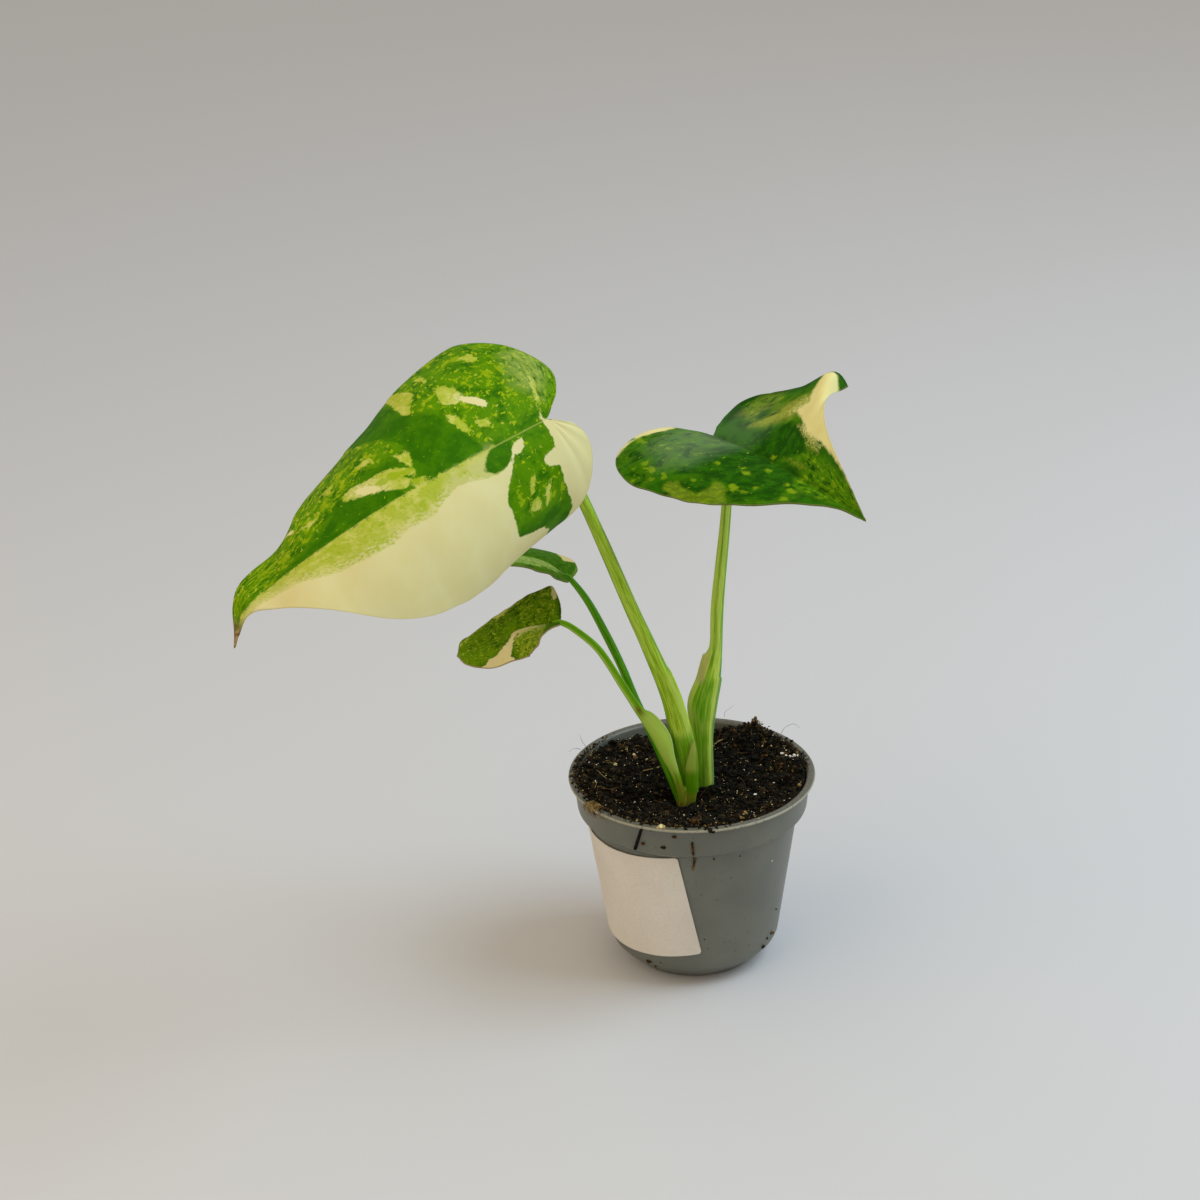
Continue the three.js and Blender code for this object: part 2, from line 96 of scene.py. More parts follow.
def readPoints(piece):
    places = np.zeros(len(piece.data.vertices) * 3)
    piece.data.vertices.foreach_get("co", places)
    return places.reshape(-1, 3)


def movePoints(piece, places):
    piece.data.vertices.foreach_set("co", (np.asarray(places) * mm).ravel())
    piece.data.update()


def writeUv(piece, name, values):
    layer = piece.data.uv_layers.new(name=name)
    corners = np.zeros(len(piece.data.loops), int)
    piece.data.loops.foreach_get("vertex_index", corners)
    layer.data.foreach_set("uv", np.asarray(values)[corners].ravel())


def writeValue(piece, name, values):
    attribute = piece.data.attributes.new(name, "FLOAT", "POINT")
    attribute.data.foreach_set("value", np.asarray(values, np.float32))


def writeVector(piece, name, values):
    attribute = piece.data.attributes.new(name, "FLOAT_VECTOR", "POINT")
    attribute.data.foreach_set("vector", np.asarray(values, np.float32).ravel())


# Points that meet are merged, open ends filled and normals turned outwards
def closeMesh(piece, fill=True, turn=True, distance=0.004):
    activate(piece)
    bpy.ops.object.mode_set(mode="EDIT")
    bpy.ops.mesh.select_all(action="SELECT")
    bpy.ops.mesh.remove_doubles(threshold=distance * mm)
    if fill:
        bpy.ops.mesh.fill_holes(sides=0)
    if turn:
        bpy.ops.mesh.select_all(action="SELECT")
        bpy.ops.mesh.normals_make_consistent(inside=False)
    bpy.ops.object.mode_set(mode="OBJECT")


# A new piece from lists of points in millimetres, faces and tones
def addMesh(name, points, faces, tones):
    mesh = bpy.data.meshes.new(name)
    mesh.from_pydata((np.concatenate(points) * mm).tolist(), [], faces)
    piece = bpy.data.objects.new(name, mesh)
    bpy.context.scene.collection.objects.link(piece)
    writeValue(piece, "tone", np.concatenate(tones))
    return piece


def joinPieces(name, pieces):
    activate(pieces[0])
    for piece in pieces:
        piece.select_set(True)
    bpy.ops.object.join()
    joined = bpy.context.object
    joined.name = name
    return joined


def applyModifier(piece, kind, **settings):
    activate(piece)
    modifier = piece.modifiers.new(kind.lower(), kind)
    for key, value in settings.items():
        setattr(modifier, key, value)
    bpy.ops.object.modifier_apply(modifier=modifier.name)


def finishPiece(piece, materials, node=None, smoothAngle=None):
    piece.data.materials.clear()
    for material in materials:
        piece.data.materials.append(material)
    if smoothAngle:
        activate(piece)
        bpy.ops.object.shade_smooth_by_angle(angle=math.radians(smoothAngle))
    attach(piece, "root")
    if node:
        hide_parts(node)


# Colours are written as they look on screen, 0 to 255, and turned into light here
def colour(*channels):
    shares = np.array(channels) / 255
    return [*np.where(shares < 0.04045, shares / 12.92, ((shares + 0.055) / 1.055) ** 2.4), 1]


# What a node of a material works out. Values are added, subtracted and multiplied like numbers.
class Value:
    def __init__(self, skin, socket):
        self.skin = skin
        self.socket = socket

    def maths(self, operation, other=0.0, clamp=False):
        return self.skin.node("Math", {0: self, 1: other}, operation=operation, use_clamp=clamp)

    def __add__(self, other):
        return self.maths("ADD", other)

    def __sub__(self, other):
        return self.maths("SUBTRACT", other)

    def __mul__(self, other):
        return self.maths("MULTIPLY", other)

    def clamped(self):
        return self.maths("ADD", clamp=True)

    # 0 below low, 1 above high, smooth between them
    def above(self, low, high):
        limits = {"Value": self, "From Min": low, "From Max": high}
        return self.skin.node("MapRange", limits, interpolation_type="SMOOTHSTEP")

    def below(self, low, high):
        return self.above(low, high) * -1.0 + 1.0

    def stretched(self, *scale):
        return self.skin.node("Mapping", {"Vector": self, "Scale": scale})

    def grain(self, scale, detail=2.0, roughness=0.5, distortion=0.0):
        return self.skin.node("TexNoise", {"Vector": self, "Scale": scale, "Detail": detail,
                                           "Roughness": roughness, "Distortion": distortion})

    def fromAxis(self):
        level = self.skin.node("VectorMath", {0: self, 1: (1, 1, 0)}, operation="MULTIPLY")
        return self.skin.node("VectorMath", {0: level}, "Value", operation="LENGTH")


# A material in the making. A value, a number or a colour can feed each input.
class Skin:
    def __init__(self, name, roughness=0.5):
        self.material = bpy.data.materials.new(name)
        self.material.use_nodes = True
        self.tree = self.material.node_tree
        self.shader = self.tree.nodes["Principled BSDF"]
        self.feed("Roughness", roughness)

    def join(self, value, socket):
        if isinstance(value, Value):
            self.tree.links.new(value.socket, socket)
        else:
            socket.default_value = value

    def feed(self, name, value):
        self.join(value, self.shader.inputs[name])

    def node(self, kind, inputs, output=0, **settings):
        made = self.tree.nodes.new("ShaderNode" + kind)
        for key, value in settings.items():
            setattr(made, key, value)
        for key, value in inputs.items():
            self.join(value, made.inputs[key])
        return Value(self, made.outputs[output])

    def attribute(self, name, output="Fac"):
        return self.node("Attribute", {}, output, attribute_name=name)

    def place(self):
        return self.node("TexCoord", {}, "Object")

    def mix(self, share, first, second, strength=1):
        if strength != 1:
            share = share * strength
        return self.node("Mix", {0: share, 6: first, 7: second}, 2, data_type="RGBA")

    # Lays a colour over what is painted so far
    def paint(self, share, tone, strength=1):
        self.tone = self.mix(share, self.tone, tone, strength)

    def bump(self, height, strength, distance):
        inputs = {"Height": height, "Strength": strength, "Distance": distance * mm}
        self.feed("Normal", self.node("Bump", inputs))

    def finish(self):
        self.feed("Base Color", self.tone)
        return self.material


# Leaf blades. Each half is a fan of veins: u runs round the outline from the notch over the back
# lobe to the tip, v along a vein from the midrib to the edge. Outlines and markings are in
# thousandths of the midrib's length: along it, and across it, with the left half below zero in the
# markings. The midrib is in millimetres.
leafFinish = {
    "thickness": 0.55, "halfWidth": 0.38, "sideVeins": 11,
    # Shares of the outline: the notch's first span is left open, and all the veins of the back lobe
    # start at the midrib's root
    "notch": 1 / 11, "lobe": 0.36,
}

largeLeaf = {
    "midrib": [(-47, -45, 227), (-72.5, -68, 222), (-96, -81, 214), (-121, -89, 200.5), (-136, -91.5, 190),
               (-144, -94.5, 183.5), (-148, -97, 172)],
    "left": [(-65, 35), (-100, 90), (-90, 180), (-50, 285), (50, 354), (187, 370), (388, 342), (578, 275),
             (740, 135), (889, 28)],
    "right": [(-68, 45), (-111, 104), (-95, 186), (-57, 277), (14, 373), (180, 365), (380, 340),
              (583, 280), (726, 131), (882, 74)],
    "roll": (53, 20), "fold": (-2, -1), "tipFold": (1, 1), "arch": (92, 68), "tipArch": (88, 85),
    "lobeDrop": (1.7, 1.6), "wave": 0.3, "waves": 4, "columns": 180, "rows": 42, "quilting": 0.16,
    "pinch": 0.55, "ripple": 0.22,
    "tones": {"deep": (46, 100, 0), "mid": (66, 119, 0), "warm": (92, 139, 0), "fleck": (144, 168, 12),
              "pale": (168, 180, 58), "paleLight": (192, 194, 94), "milky": (190, 190, 112),
              "cream": (217, 210, 154), "warmCream": (215, 206, 146)},
    "softness": 1.0, "rib": 0.35, "margin": 0.25,
}

rightLeaf = {
    "midrib": [(9.5, 0.3, 202.2), (19.5, -14.5, 203), (29, -29, 202.5), (37.5, -43.5, 201.7),
               (46, -58, 201), (55, -72.8, 198.8)],
    "left": [(-36, 50), (-68, 130), (-80, 225), (-18, 306), (110, 352), (220, 440), (335, 340), (480, 230),
             (696, 132), (871, 55)],
    "right": [(-75, 30), (-165, 105), (-178, 245), (-120, 395), (4, 471), (155, 462), (370, 395),
              (560, 265), (725, 125), (854, 33)],
    "roll": (-6, -28), "fold": (15, 19), "tipFold": (23, 14), "arch": (0.5, 32), "tipArch": (-19, 25),
    "lobeDrop": (0.46, -0.1), "wave": 0.3, "waves": 5, "columns": 170, "rows": 36, "quilting": 0.13,
    "ripple": 0.15,
    "tones": {"deep": (22, 68, 0), "mid": (44, 98, 0), "warm": (80, 128, 2), "fleck": (126, 154, 14),
              "pale": (88, 112, 16), "paleLight": (102, 124, 28), "milky": (164, 168, 66),
              "cream": (222, 212, 146), "warmCream": (216, 204, 134)},
    "softness": 2.3, "rib": 0.12, "margin": 0.35,
    "hook": {"half": 0, "at": 0.555, "spread": 0.06, "reach": 9, "lift": 8.6, "drop": 16},
}

upperLeaf = {
    "midrib": [(-42, 0, 150.5), (-46.5, 1, 154), (-51, 1, 157), (-58, 0, 159.5), (-66, -3, 161.5),
               (-74.5, -7, 161.5), (-83.5, -11.5, 159)],
    "left": [(-8, 46), (-9, 95), (10, 150), (56, 190), (133, 265), (230, 290), (400, 308), (580, 248),
             (765, 155), (910, 70)],
    "right": [(-14, 30), (-24, 88), (-25, 174), (14, 247), (108, 287), (215, 325), (400, 308), (580, 244),
              (760, 146), (900, 60)],
    "roll": (-4, -6), "fold": (14, 10), "tipFold": (2, -3), "arch": (24, 18), "tipArch": (36, 44),
    "lobeDrop": (0.3, 0.3), "wave": 0.12, "waves": 5, "columns": 110, "rows": 24, "quilting": 0.06,
    "ripple": 0,
    # Its pale tones also paint the lit half of the folded blade, and its deep and mid tones the shaded
    # half.
    "tones": {"deep": (46, 94, 0), "mid": (72, 120, 4), "warm": (106, 148, 24), "fleck": (140, 170, 44),
              "pale": (112, 148, 64), "paleLight": (166, 194, 96), "milky": (158, 178, 96),
              "cream": (214, 202, 140), "warmCream": (206, 190, 126)},
    "softness": 0.8, "rib": 1.0, "margin": 0.4,
}

lowerLeaf = {
    "midrib": [(-46, -10, 138), (-53, -9.5, 137.3), (-60, -10, 136), (-67, -12, 133.7), (-74.5, -14, 131),
               (-82, -16.5, 129)],
    "left": [(-9, 50), (-15, 127), (-12, 215), (50, 270), (101, 435), (206, 473), (394, 436), (568, 320),
             (801, 243), (954, 116)],
    "right": [(-10, 40), (-13, 126), (-8, 234), (28, 343), (98, 455), (236, 418), (385, 301), (572, 280),
              (770, 190), (896, 172)],
    "roll": (3, 29), "fold": (19, 17), "tipFold": (-1, -1), "arch": (-2, -13), "tipArch": (46, 51),
    "lobeDrop": (0.3, 0.3), "wave": 0.5, "waves": 5, "columns": 110, "rows": 24, "quilting": 0.1,
    "ripple": 0.12,
    "tones": {"deep": (50, 86, 0), "mid": (80, 118, 2), "warm": (112, 142, 6), "fleck": (164, 178, 44),
              "pale": (162, 178, 52), "paleLight": (184, 190, 84), "milky": (186, 186, 96),
              "cream": (228, 214, 152), "warmCream": (220, 202, 142)},
    "softness": 0.8, "rib": 0.1, "margin": 0.9,
}

# Markings, painted in the order speckled, pale, milky, dark, spots, cream, dry. Cream, pale and dark
# fields are outlines with ragged but clear borders, and a spot is (along, across, radius). The others
# are soft fields, each with its amount: speckled or milky tissue, a glossier skin and a dry end.
largeMarkings = {
    "cream": [
        [(12, 10), (12, -70), (50, -75), (60, -90), (50, -105), (15, -115), (10, -160), (0, -200),
         (-25, -260), (-12, -400), (-200, -400), (-200, 10), (-5, -6)],
        [(130, -30), (180, -90), (197, -110), (210, -130), (195, -200), (190, -243), (140, -255),
         (80, -270), (45, -300), (15, -400), (1000, -400), (1000, -20), (880, -20), (760, -45), (720, -60),
         (680, -75), (570, -90), (520, -90), (480, -75), (430, -80), (400, -80), (360, -60), (320, -45),
         (280, -45), (250, -58), (200, -64), (170, -58)],
        [(90, -12), (120, -10), (142, -35), (130, -44), (100, -36)],
        [(106, 110), (122, 96), (137, 120), (159, 147), (148, 164), (118, 136)],
        [(470, 45), (506, 52), (530, 74), (523, 88), (486, 71)],
        [(700, 102), (719, 103), (745, 118), (717, 116)],
    ],
    "pale": [
        [(214, 370), (212, 315), (207, 269), (238, 246), (260, 241), (279, 200), (295, 227), (290, 270),
         (270, 320), (250, 370)],
        [(163, 240), (145, 220), (130, 180), (140, 166), (162, 150), (185, 158), (205, 172), (190, 200)],
        [(221, 137), (205, 126), (195, 85), (200, 60), (216, 70), (230, 104)],
        [(170, 81), (140, 68), (150, 52), (170, 62)],
        [(13, 243), (45, 246), (43, 290), (10, 280)],
        [(135, 330), (144, 289), (160, 280), (155, 330)],
        [(565, 92), (519, 100), (496, 94), (466, 91), (426, 80), (399, 66), (382, 40), (391, 33),
         (415, 43), (400, 26), (357, 10), (380, 6), (418, 14), (445, 22), (475, 37), (506, 50), (546, 69),
         (572, 80)],
        [(402, 112), (385, 106), (350, 93), (370, 82), (385, 58), (398, 83)],
        [(492, 160), (460, 156), (438, 140), (450, 132), (473, 140), (493, 142)],
        [(549, 40), (530, 36), (507, 20), (525, 19), (549, 29)],
        [(660, 100), (640, 86), (666, 78), (690, 90)],
        [(607, 132), (590, 165), (560, 166), (580, 136)],
        [(14, 8), (2, 50), (-18, 95), (-40, 130), (-30, 85), (-5, 40)],
        [(170, 2), (220, -120), (950, -120), (950, 0)],
        [(50, -140), (66, -140), (84, -168), (80, -200), (60, -190), (60, -165)],
        [(103, -108), (122, -112), (130, -150), (110, -142)],
        [(110, -163), (145, -170), (135, -190), (100, -205), (100, -180)],
    ],
    "dark": [
        [(200, 6), (222, 66), (240, 110), (238, 154), (267, 175), (302, 224), (290, 276), (300, 400),
         (440, 400), (460, 260), (400, 200), (360, 120), (370, 80), (330, 6)],
        [(120, -2), (190, 0), (215, -18), (237, -42), (210, -60), (180, -58), (150, -40)],
        [(420, 4), (460, 28), (520, 50), (580, 78), (640, 40), (700, 20), (700, 4)],
    ],
    "spots": [(400, 50, 16), (432, 58, 20), (466, 60, 16), (492, 70, 14), (395, 18, 12)],
    "speckled": [
        ([(-200, 0), (210, 10), (235, 120), (240, 160), (300, 220), (290, 290), (270, 400), (0, 500),
          (-200, 400)], 0.85),
        ([(360, 130), (400, 110), (600, 100), (620, 340), (440, 400), (420, 240)], 1.05),
        ([(560, 90), (660, 40), (800, 0), (950, 0), (950, 100), (800, 140), (620, 300), (540, 200)], 1.1),
        ([(0, 0), (140, 0), (200, -100), (200, -220), (0, -220), (0, -100)], 0.7),
        ([(200, 0), (220, 40), (340, 20), (500, 10), (500, 0)], 0.8),
    ],
    "milky": [
        ([(190, 0), (320, -10), (360, -70), (180, -70)], 1.0),
        ([(-20, 50), (20, 120), (-30, 220), (-100, 220), (-100, 120)], 0.3),
    ],
    "dry": [
        ([(945, -100), (1100, -100), (1100, 100), (945, 100)], 1.0),
    ],
}

rightMarkings = {
    "cream": [
        [(262, -200), (300, -188), (360, -190), (420, -175), (500, -170), (560, -162), (630, -146),
         (750, -108), (840, -70), (840, -300), (450, -400), (280, -390), (222, -360), (235, -330),
         (250, -300), (262, -270), (290, -240), (280, -215)],
        [(-200, 80), (-140, 90), (-140, 150), (-145, 200), (-158, 270), (-200, 270)],
        [(-158, 270), (-132, 360), (-110, 395), (-160, 500), (-200, 500)],
    ],
    "pale": [
        [(200, 385), (243, 360), (309, 358), (360, 350), (368, 288), (357, 255), (427, 250), (498, 307),
         (454, 345), (373, 400), (298, 430), (220, 420)],
        [(410, -37), (500, -33), (575, -40), (500, -53), (430, -50)],
        [(101, -104), (179, -113), (237, -161), (270, -195), (292, -213), (282, -260), (243, -249),
         (200, -235), (190, -190), (148, -160)],
        [(339, -165), (433, -155), (470, -120), (560, -115), (540, -150), (420, -190)],
    ],
    "dark": [
        [(250, 330), (290, 270), (338, 255), (375, 290), (360, 345), (310, 364), (260, 360)],
        [(180, 2), (190, 340), (300, 250), (400, 240), (530, 260), (640, 160), (600, 40), (500, 2)],
        [(180, -2), (200, -100), (300, -160), (400, -140), (500, -100), (400, -20), (400, -2)],
        [(130, -300), (200, -300), (235, -330), (210, -370), (170, -390), (120, -360)],
        [(243, -360), (285, -335), (300, -360), (290, -420), (240, -460), (236, -400)],
        [(80, -150), (130, -150), (155, -185), (130, -210), (90, -200)],
    ],
    "spots": [(85, 375, 20), (155, 365, 14), (180, 378, 14), (130, 410, 14), (285, 312, 15),
              (270, 180, 14), (370, 125, 14), (410, 138, 20), (450, 230, 26), (505, 215, 16),
              (640, 85, 24), (590, 70, 14), (-140, 265, 20), (-100, 270, 14), (660, 138, 20),
              (520, 170, 13), (450, 60, 20), (370, -20, 16)],
    "speckled": [
        ([(0, 300), (400, 420), (700, 150), (700, 50), (200, 100)], 0.5),
        ([(-200, 20), (150, 20), (150, 500), (-200, 500)], 0.6),
        ([(100, -100), (300, -100), (350, -200), (280, -280), (0, -320), (-50, -200)], 0.6),
        ([(550, 100), (950, 0), (950, -60), (600, -120), (400, -100), (560, -10)], 0.9),
    ],
    "milky": [
        ([(120, -100), (280, -160), (300, -260), (180, -240)], 0.45),
        ([(-20, -140), (100, -140), (160, -240), (80, -320), (-20, -280)], 0.25),
    ],
    "glossy": [
        ([(-140, 30), (-20, 0), (190, 0), (190, 260), (100, 340), (-40, 280)], 1.0),
        ([(-20, 0), (220, 0), (220, -120), (120, -200), (-40, -160)], 0.5),
    ],
}

upperMarkings = {
    "cream": [
        [(35, 250), (60, 210), (88, 180), (100, 175), (115, 215), (135, 300), (110, 400), (30, 400)],
    ],
    # The pale field over the left half and the first dark field over the right half are painted light and
    # shade: the lit and the shaded side of the folded blade.
    "pale": [
        [(90, -2), (900, -2), (800, -200), (600, -220), (400, -250), (200, -200), (120, -140)],
    ],
    "dark": [
        [(0, 30), (100, 30), (360, 20), (500, 50), (900, 20), (800, 200), (400, 400), (150, 400),
         (0, 200)],
        [(-20, 0), (70, 0), (80, -80), (40, -120), (-20, -100)],
    ],
    "speckled": [
        ([(100, -20), (600, -20), (600, -250), (100, -250)], 0.35),
        ([(-100, 20), (600, 20), (600, 400), (-100, 400)], 0.4),
    ],
    "milky": [
        ([(200, -30), (600, 0), (600, -200), (300, -160)], 0.3),
        ([(-50, 30), (90, 30), (100, 200), (-50, 250)], 0.3),
    ],
}

lowerMarkings = {
    "cream": [
        [(200, -25), (320, -8), (420, -12), (460, -35), (500, -80), (550, -130), (660, -170), (740, -175),
         (800, -205), (840, -215), (840, -400), (545, -400), (545, -330), (560, -270), (525, -200),
         (480, -130), (440, -90), (340, -60), (220, -50)],
        [(30, 310), (75, 280), (85, 340), (90, 460), (20, 460)],
        [(260, 460), (300, 385), (360, 335), (400, 320), (400, 460)],
    ],
    "pale": [
        [(120, -60), (200, -40), (360, -60), (460, -110), (480, -150), (360, -120), (240, -100)],
        [(360, 300), (430, 240), (520, 220), (530, 290), (400, 360)],
        [(800, 150), (880, 120), (930, 100), (880, 140), (810, 170)],
    ],
    "speckled": [
        ([(0, 0), (350, 0), (350, 420), (50, 450)], 0.85),
        ([(100, -60), (480, -120), (540, -300), (400, -500), (100, -500)], 1.15),
        ([(350, 0), (420, 0), (600, -150), (1000, -200), (1000, 300), (350, 400)], 0.65),
    ],
    "milky": [
        ([(100, -60), (300, -60), (280, -140), (120, -220)], 0.4),
    ],
}


def prepareMidrib(design):
    shares = np.linspace(0, 1, 600)
    line = curveAt(design["midrib"], shares)
    steps = np.linalg.norm(np.diff(line, axis=0), axis=1)
    design["shares"] = shares
    design["lengths"] = np.concatenate([[0], np.cumsum(steps)])
    design["length"] = design["lengths"][-1]


# Point, side and normal of the midrib, carried on straight behind the stalk
def midribFrame(design, along):
    share = np.clip(along / design["length"], 0, 1)
    place = np.interp(share * design["length"], design["lengths"], design["shares"])
    forward = headingAt(design["midrib"], place)
    point = curveAt(design["midrib"], place) + forward * np.minimum(along, 0)[:, None]
    level = unit(np.cross(forward, [0, 0, 1.0]))
    up = np.cross(level, forward)
    first, last = design["roll"]
    roll = np.radians(first + (last - first) * share)[:, None]
    side = level * np.cos(roll) + up * np.sin(roll)
    normal = up * np.cos(roll) - level * np.sin(roll)
    return point, side, normal, share


# A half's edge from the notch to the tip, as shares of the length along and across
def edgeAt(design, u, half):
    outline = [(0, 0), *design["right" if half else "left"], (1000, 0)]
    return curveAt(np.array(outline) / 1000, u)


def flatPlace(design, u, v, half):
    edge = edgeAt(design, u, half)
    root = np.clip((u - leafFinish["lobe"]) / (1 - leafFinish["lobe"]), 0, 1)
    along = root + (edge[:, 0] - root) * v
    across = np.maximum(edge[:, 1], 0) * v * (1 - design.get("pinch", 0) * smooth(along, 0.86, 0.97))
    return along, across


def bladePoints(design, u, v, half):
    length = design["length"]
    along, across = flatPlace(design, u, v, half)
    along, across = along * length, across * length
    point, side, normal, share = midribFrame(design, along)
    # Across, a half leaves the midrib at its fold's angle and is bent evenly by its arch
    fold = np.radians(design["fold"][half] + (design["tipFold"][half] - design["fold"][half]) * share)
    arch = design["arch"][half] + (design["tipArch"][half] - design["arch"][half]) * share
    bend = np.radians(arch) / (leafFinish["halfWidth"] * length)
    bend = np.where(np.abs(bend) < 1e-7, 1e-7, bend)
    reach = (np.sin(fold) - np.sin(fold - bend * across)) / bend
    rise = (np.cos(fold - bend * across) - np.cos(fold)) / bend
    # The back lobe sags, broad waves and small ripples run along the edge, and a hook curls it over
    rise -= design["lobeDrop"][half] * np.maximum(-along / length, 0) ** 2 * length
    calm = smooth(u, 0.3, 0.5) * smooth(1 - u, 0, 0.15)
    rise += design["wave"] * np.sin(2 * np.pi * design["waves"] * u + 1.3 * half) * v**2.5 * calm
    rise += design["ripple"] * np.sin(2 * np.pi * 15 * u + 2 * half + 2 * np.sin(20 * u)) * v**6 * calm
    hook = design.get("hook")
    if hook and hook["half"] == half:
        near = np.exp(-((u - hook["at"]) / hook["spread"]) ** 2)
        reach += near * hook["reach"] * smooth(v, 0, 1)
        rise += near * (hook["lift"] * v**2 - hook["drop"] * v**9)
    # Low relief: the blade swells a little between its side veins, and the midrib lies in a groove
    swell = np.cos(2 * np.pi * leafFinish["sideVeins"] * u) * smooth(v, 0.03, 0.3) * smooth(1 - v, 0, 0.15)
    groove = np.exp(-(across / 0.9) ** 2) * smooth(share, -0.01, 0.05) * smooth(1 - share, 0.02, 0.3)
    height = rise + design["quilting"] * swell - 0.35 * groove
    return point + side * (reach if half else -reach)[:, None] + normal * height[:, None]


# Distance of flat places to an outline, in shares of the length: above zero inside it
def insideBy(outline, along, across):
    places = np.stack([along, across], -1)
    corners = np.array(outline) / 1000
    nearest = np.full(len(places), 1e9)
    inside = np.zeros(len(places), bool)
    for start, end in zip(corners, np.roll(corners, -1, axis=0)):
        edge = end - start
        share = np.clip(((places - start) @ edge) / (edge @ edge), 0, 1)
        nearest = np.minimum(nearest, np.linalg.norm(places - start - share[:, None] * edge, axis=1))
        if start[1] != end[1]:
            crosses = (start[1] > across) != (end[1] > across)
            inside ^= crosses & (along < start[0] + (across - start[1]) * edge[0] / edge[1])
    return np.where(inside, nearest, -nearest)


def markBlade(piece, design, markings, along, across):
    length = design["length"]
    outside = np.full(len(along), -1.0)
    for kind in ("cream", "pale", "dark"):
        field = outside
        for outline in markings.get(kind, []):
            field = np.maximum(field, insideBy(outline, along, across))
        writeValue(piece, kind, field * length)
    field = outside
    for spotAlong, spotAcross, radius in np.array(markings.get("spots", [])) / 1000:
        field = np.maximum(field, 0.9 * radius - np.hypot(along - spotAlong, (across - spotAcross) * 1.5))
    writeValue(piece, "spots", field * length)
    for kind, fade in {"speckled": 0.025, "milky": 0.025, "glossy": 0.07, "dry": 0.025}.items():
        field = np.zeros(len(along))
        for outline, amount in markings.get(kind, []):
            field = np.maximum(field, amount * smooth(insideBy(outline, along, across), -fade, fade))
        writeValue(piece, kind, field)


def makeBlade(name, design, markings):
    prepareMidrib(design)
    halves = []
    for half in (0, 1):
        piece, columnShare, v = addGrid(f"{name}{half}", design["columns"], design["rows"])
        u = leafFinish["notch"] + (1 - leafFinish["notch"]) * columnShare
        along, across = flatPlace(design, u, v, half)
        across = across if half else -across
        movePoints(piece, bladePoints(design, u, v, half))
        writeUv(piece, "flat", np.stack([along, across], -1) * design["length"])
        writeUv(piece, "veins", np.stack([u, v], -1))
        markBlade(piece, design, markings, along, across)
        veinReach = np.maximum(np.abs(edgeAt(design, u, half)[:, 1]), 0.02) * design["length"]
        writeValue(piece, "fromEdge", (1 - v) * veinReach)
        if half:
            piece.data.flip_normals()
        piece.data.uv_layers.remove(piece.data.uv_layers[0])
        halves.append(piece)
    blade = joinPieces(name, halves)
    closeMesh(blade, fill=False, turn=False, distance=0.01)
    applyModifier(blade, "SOLIDIFY", thickness=leafFinish["thickness"] * mm, offset=0, material_offset=1,
                  material_offset_rim=1)
    return blade


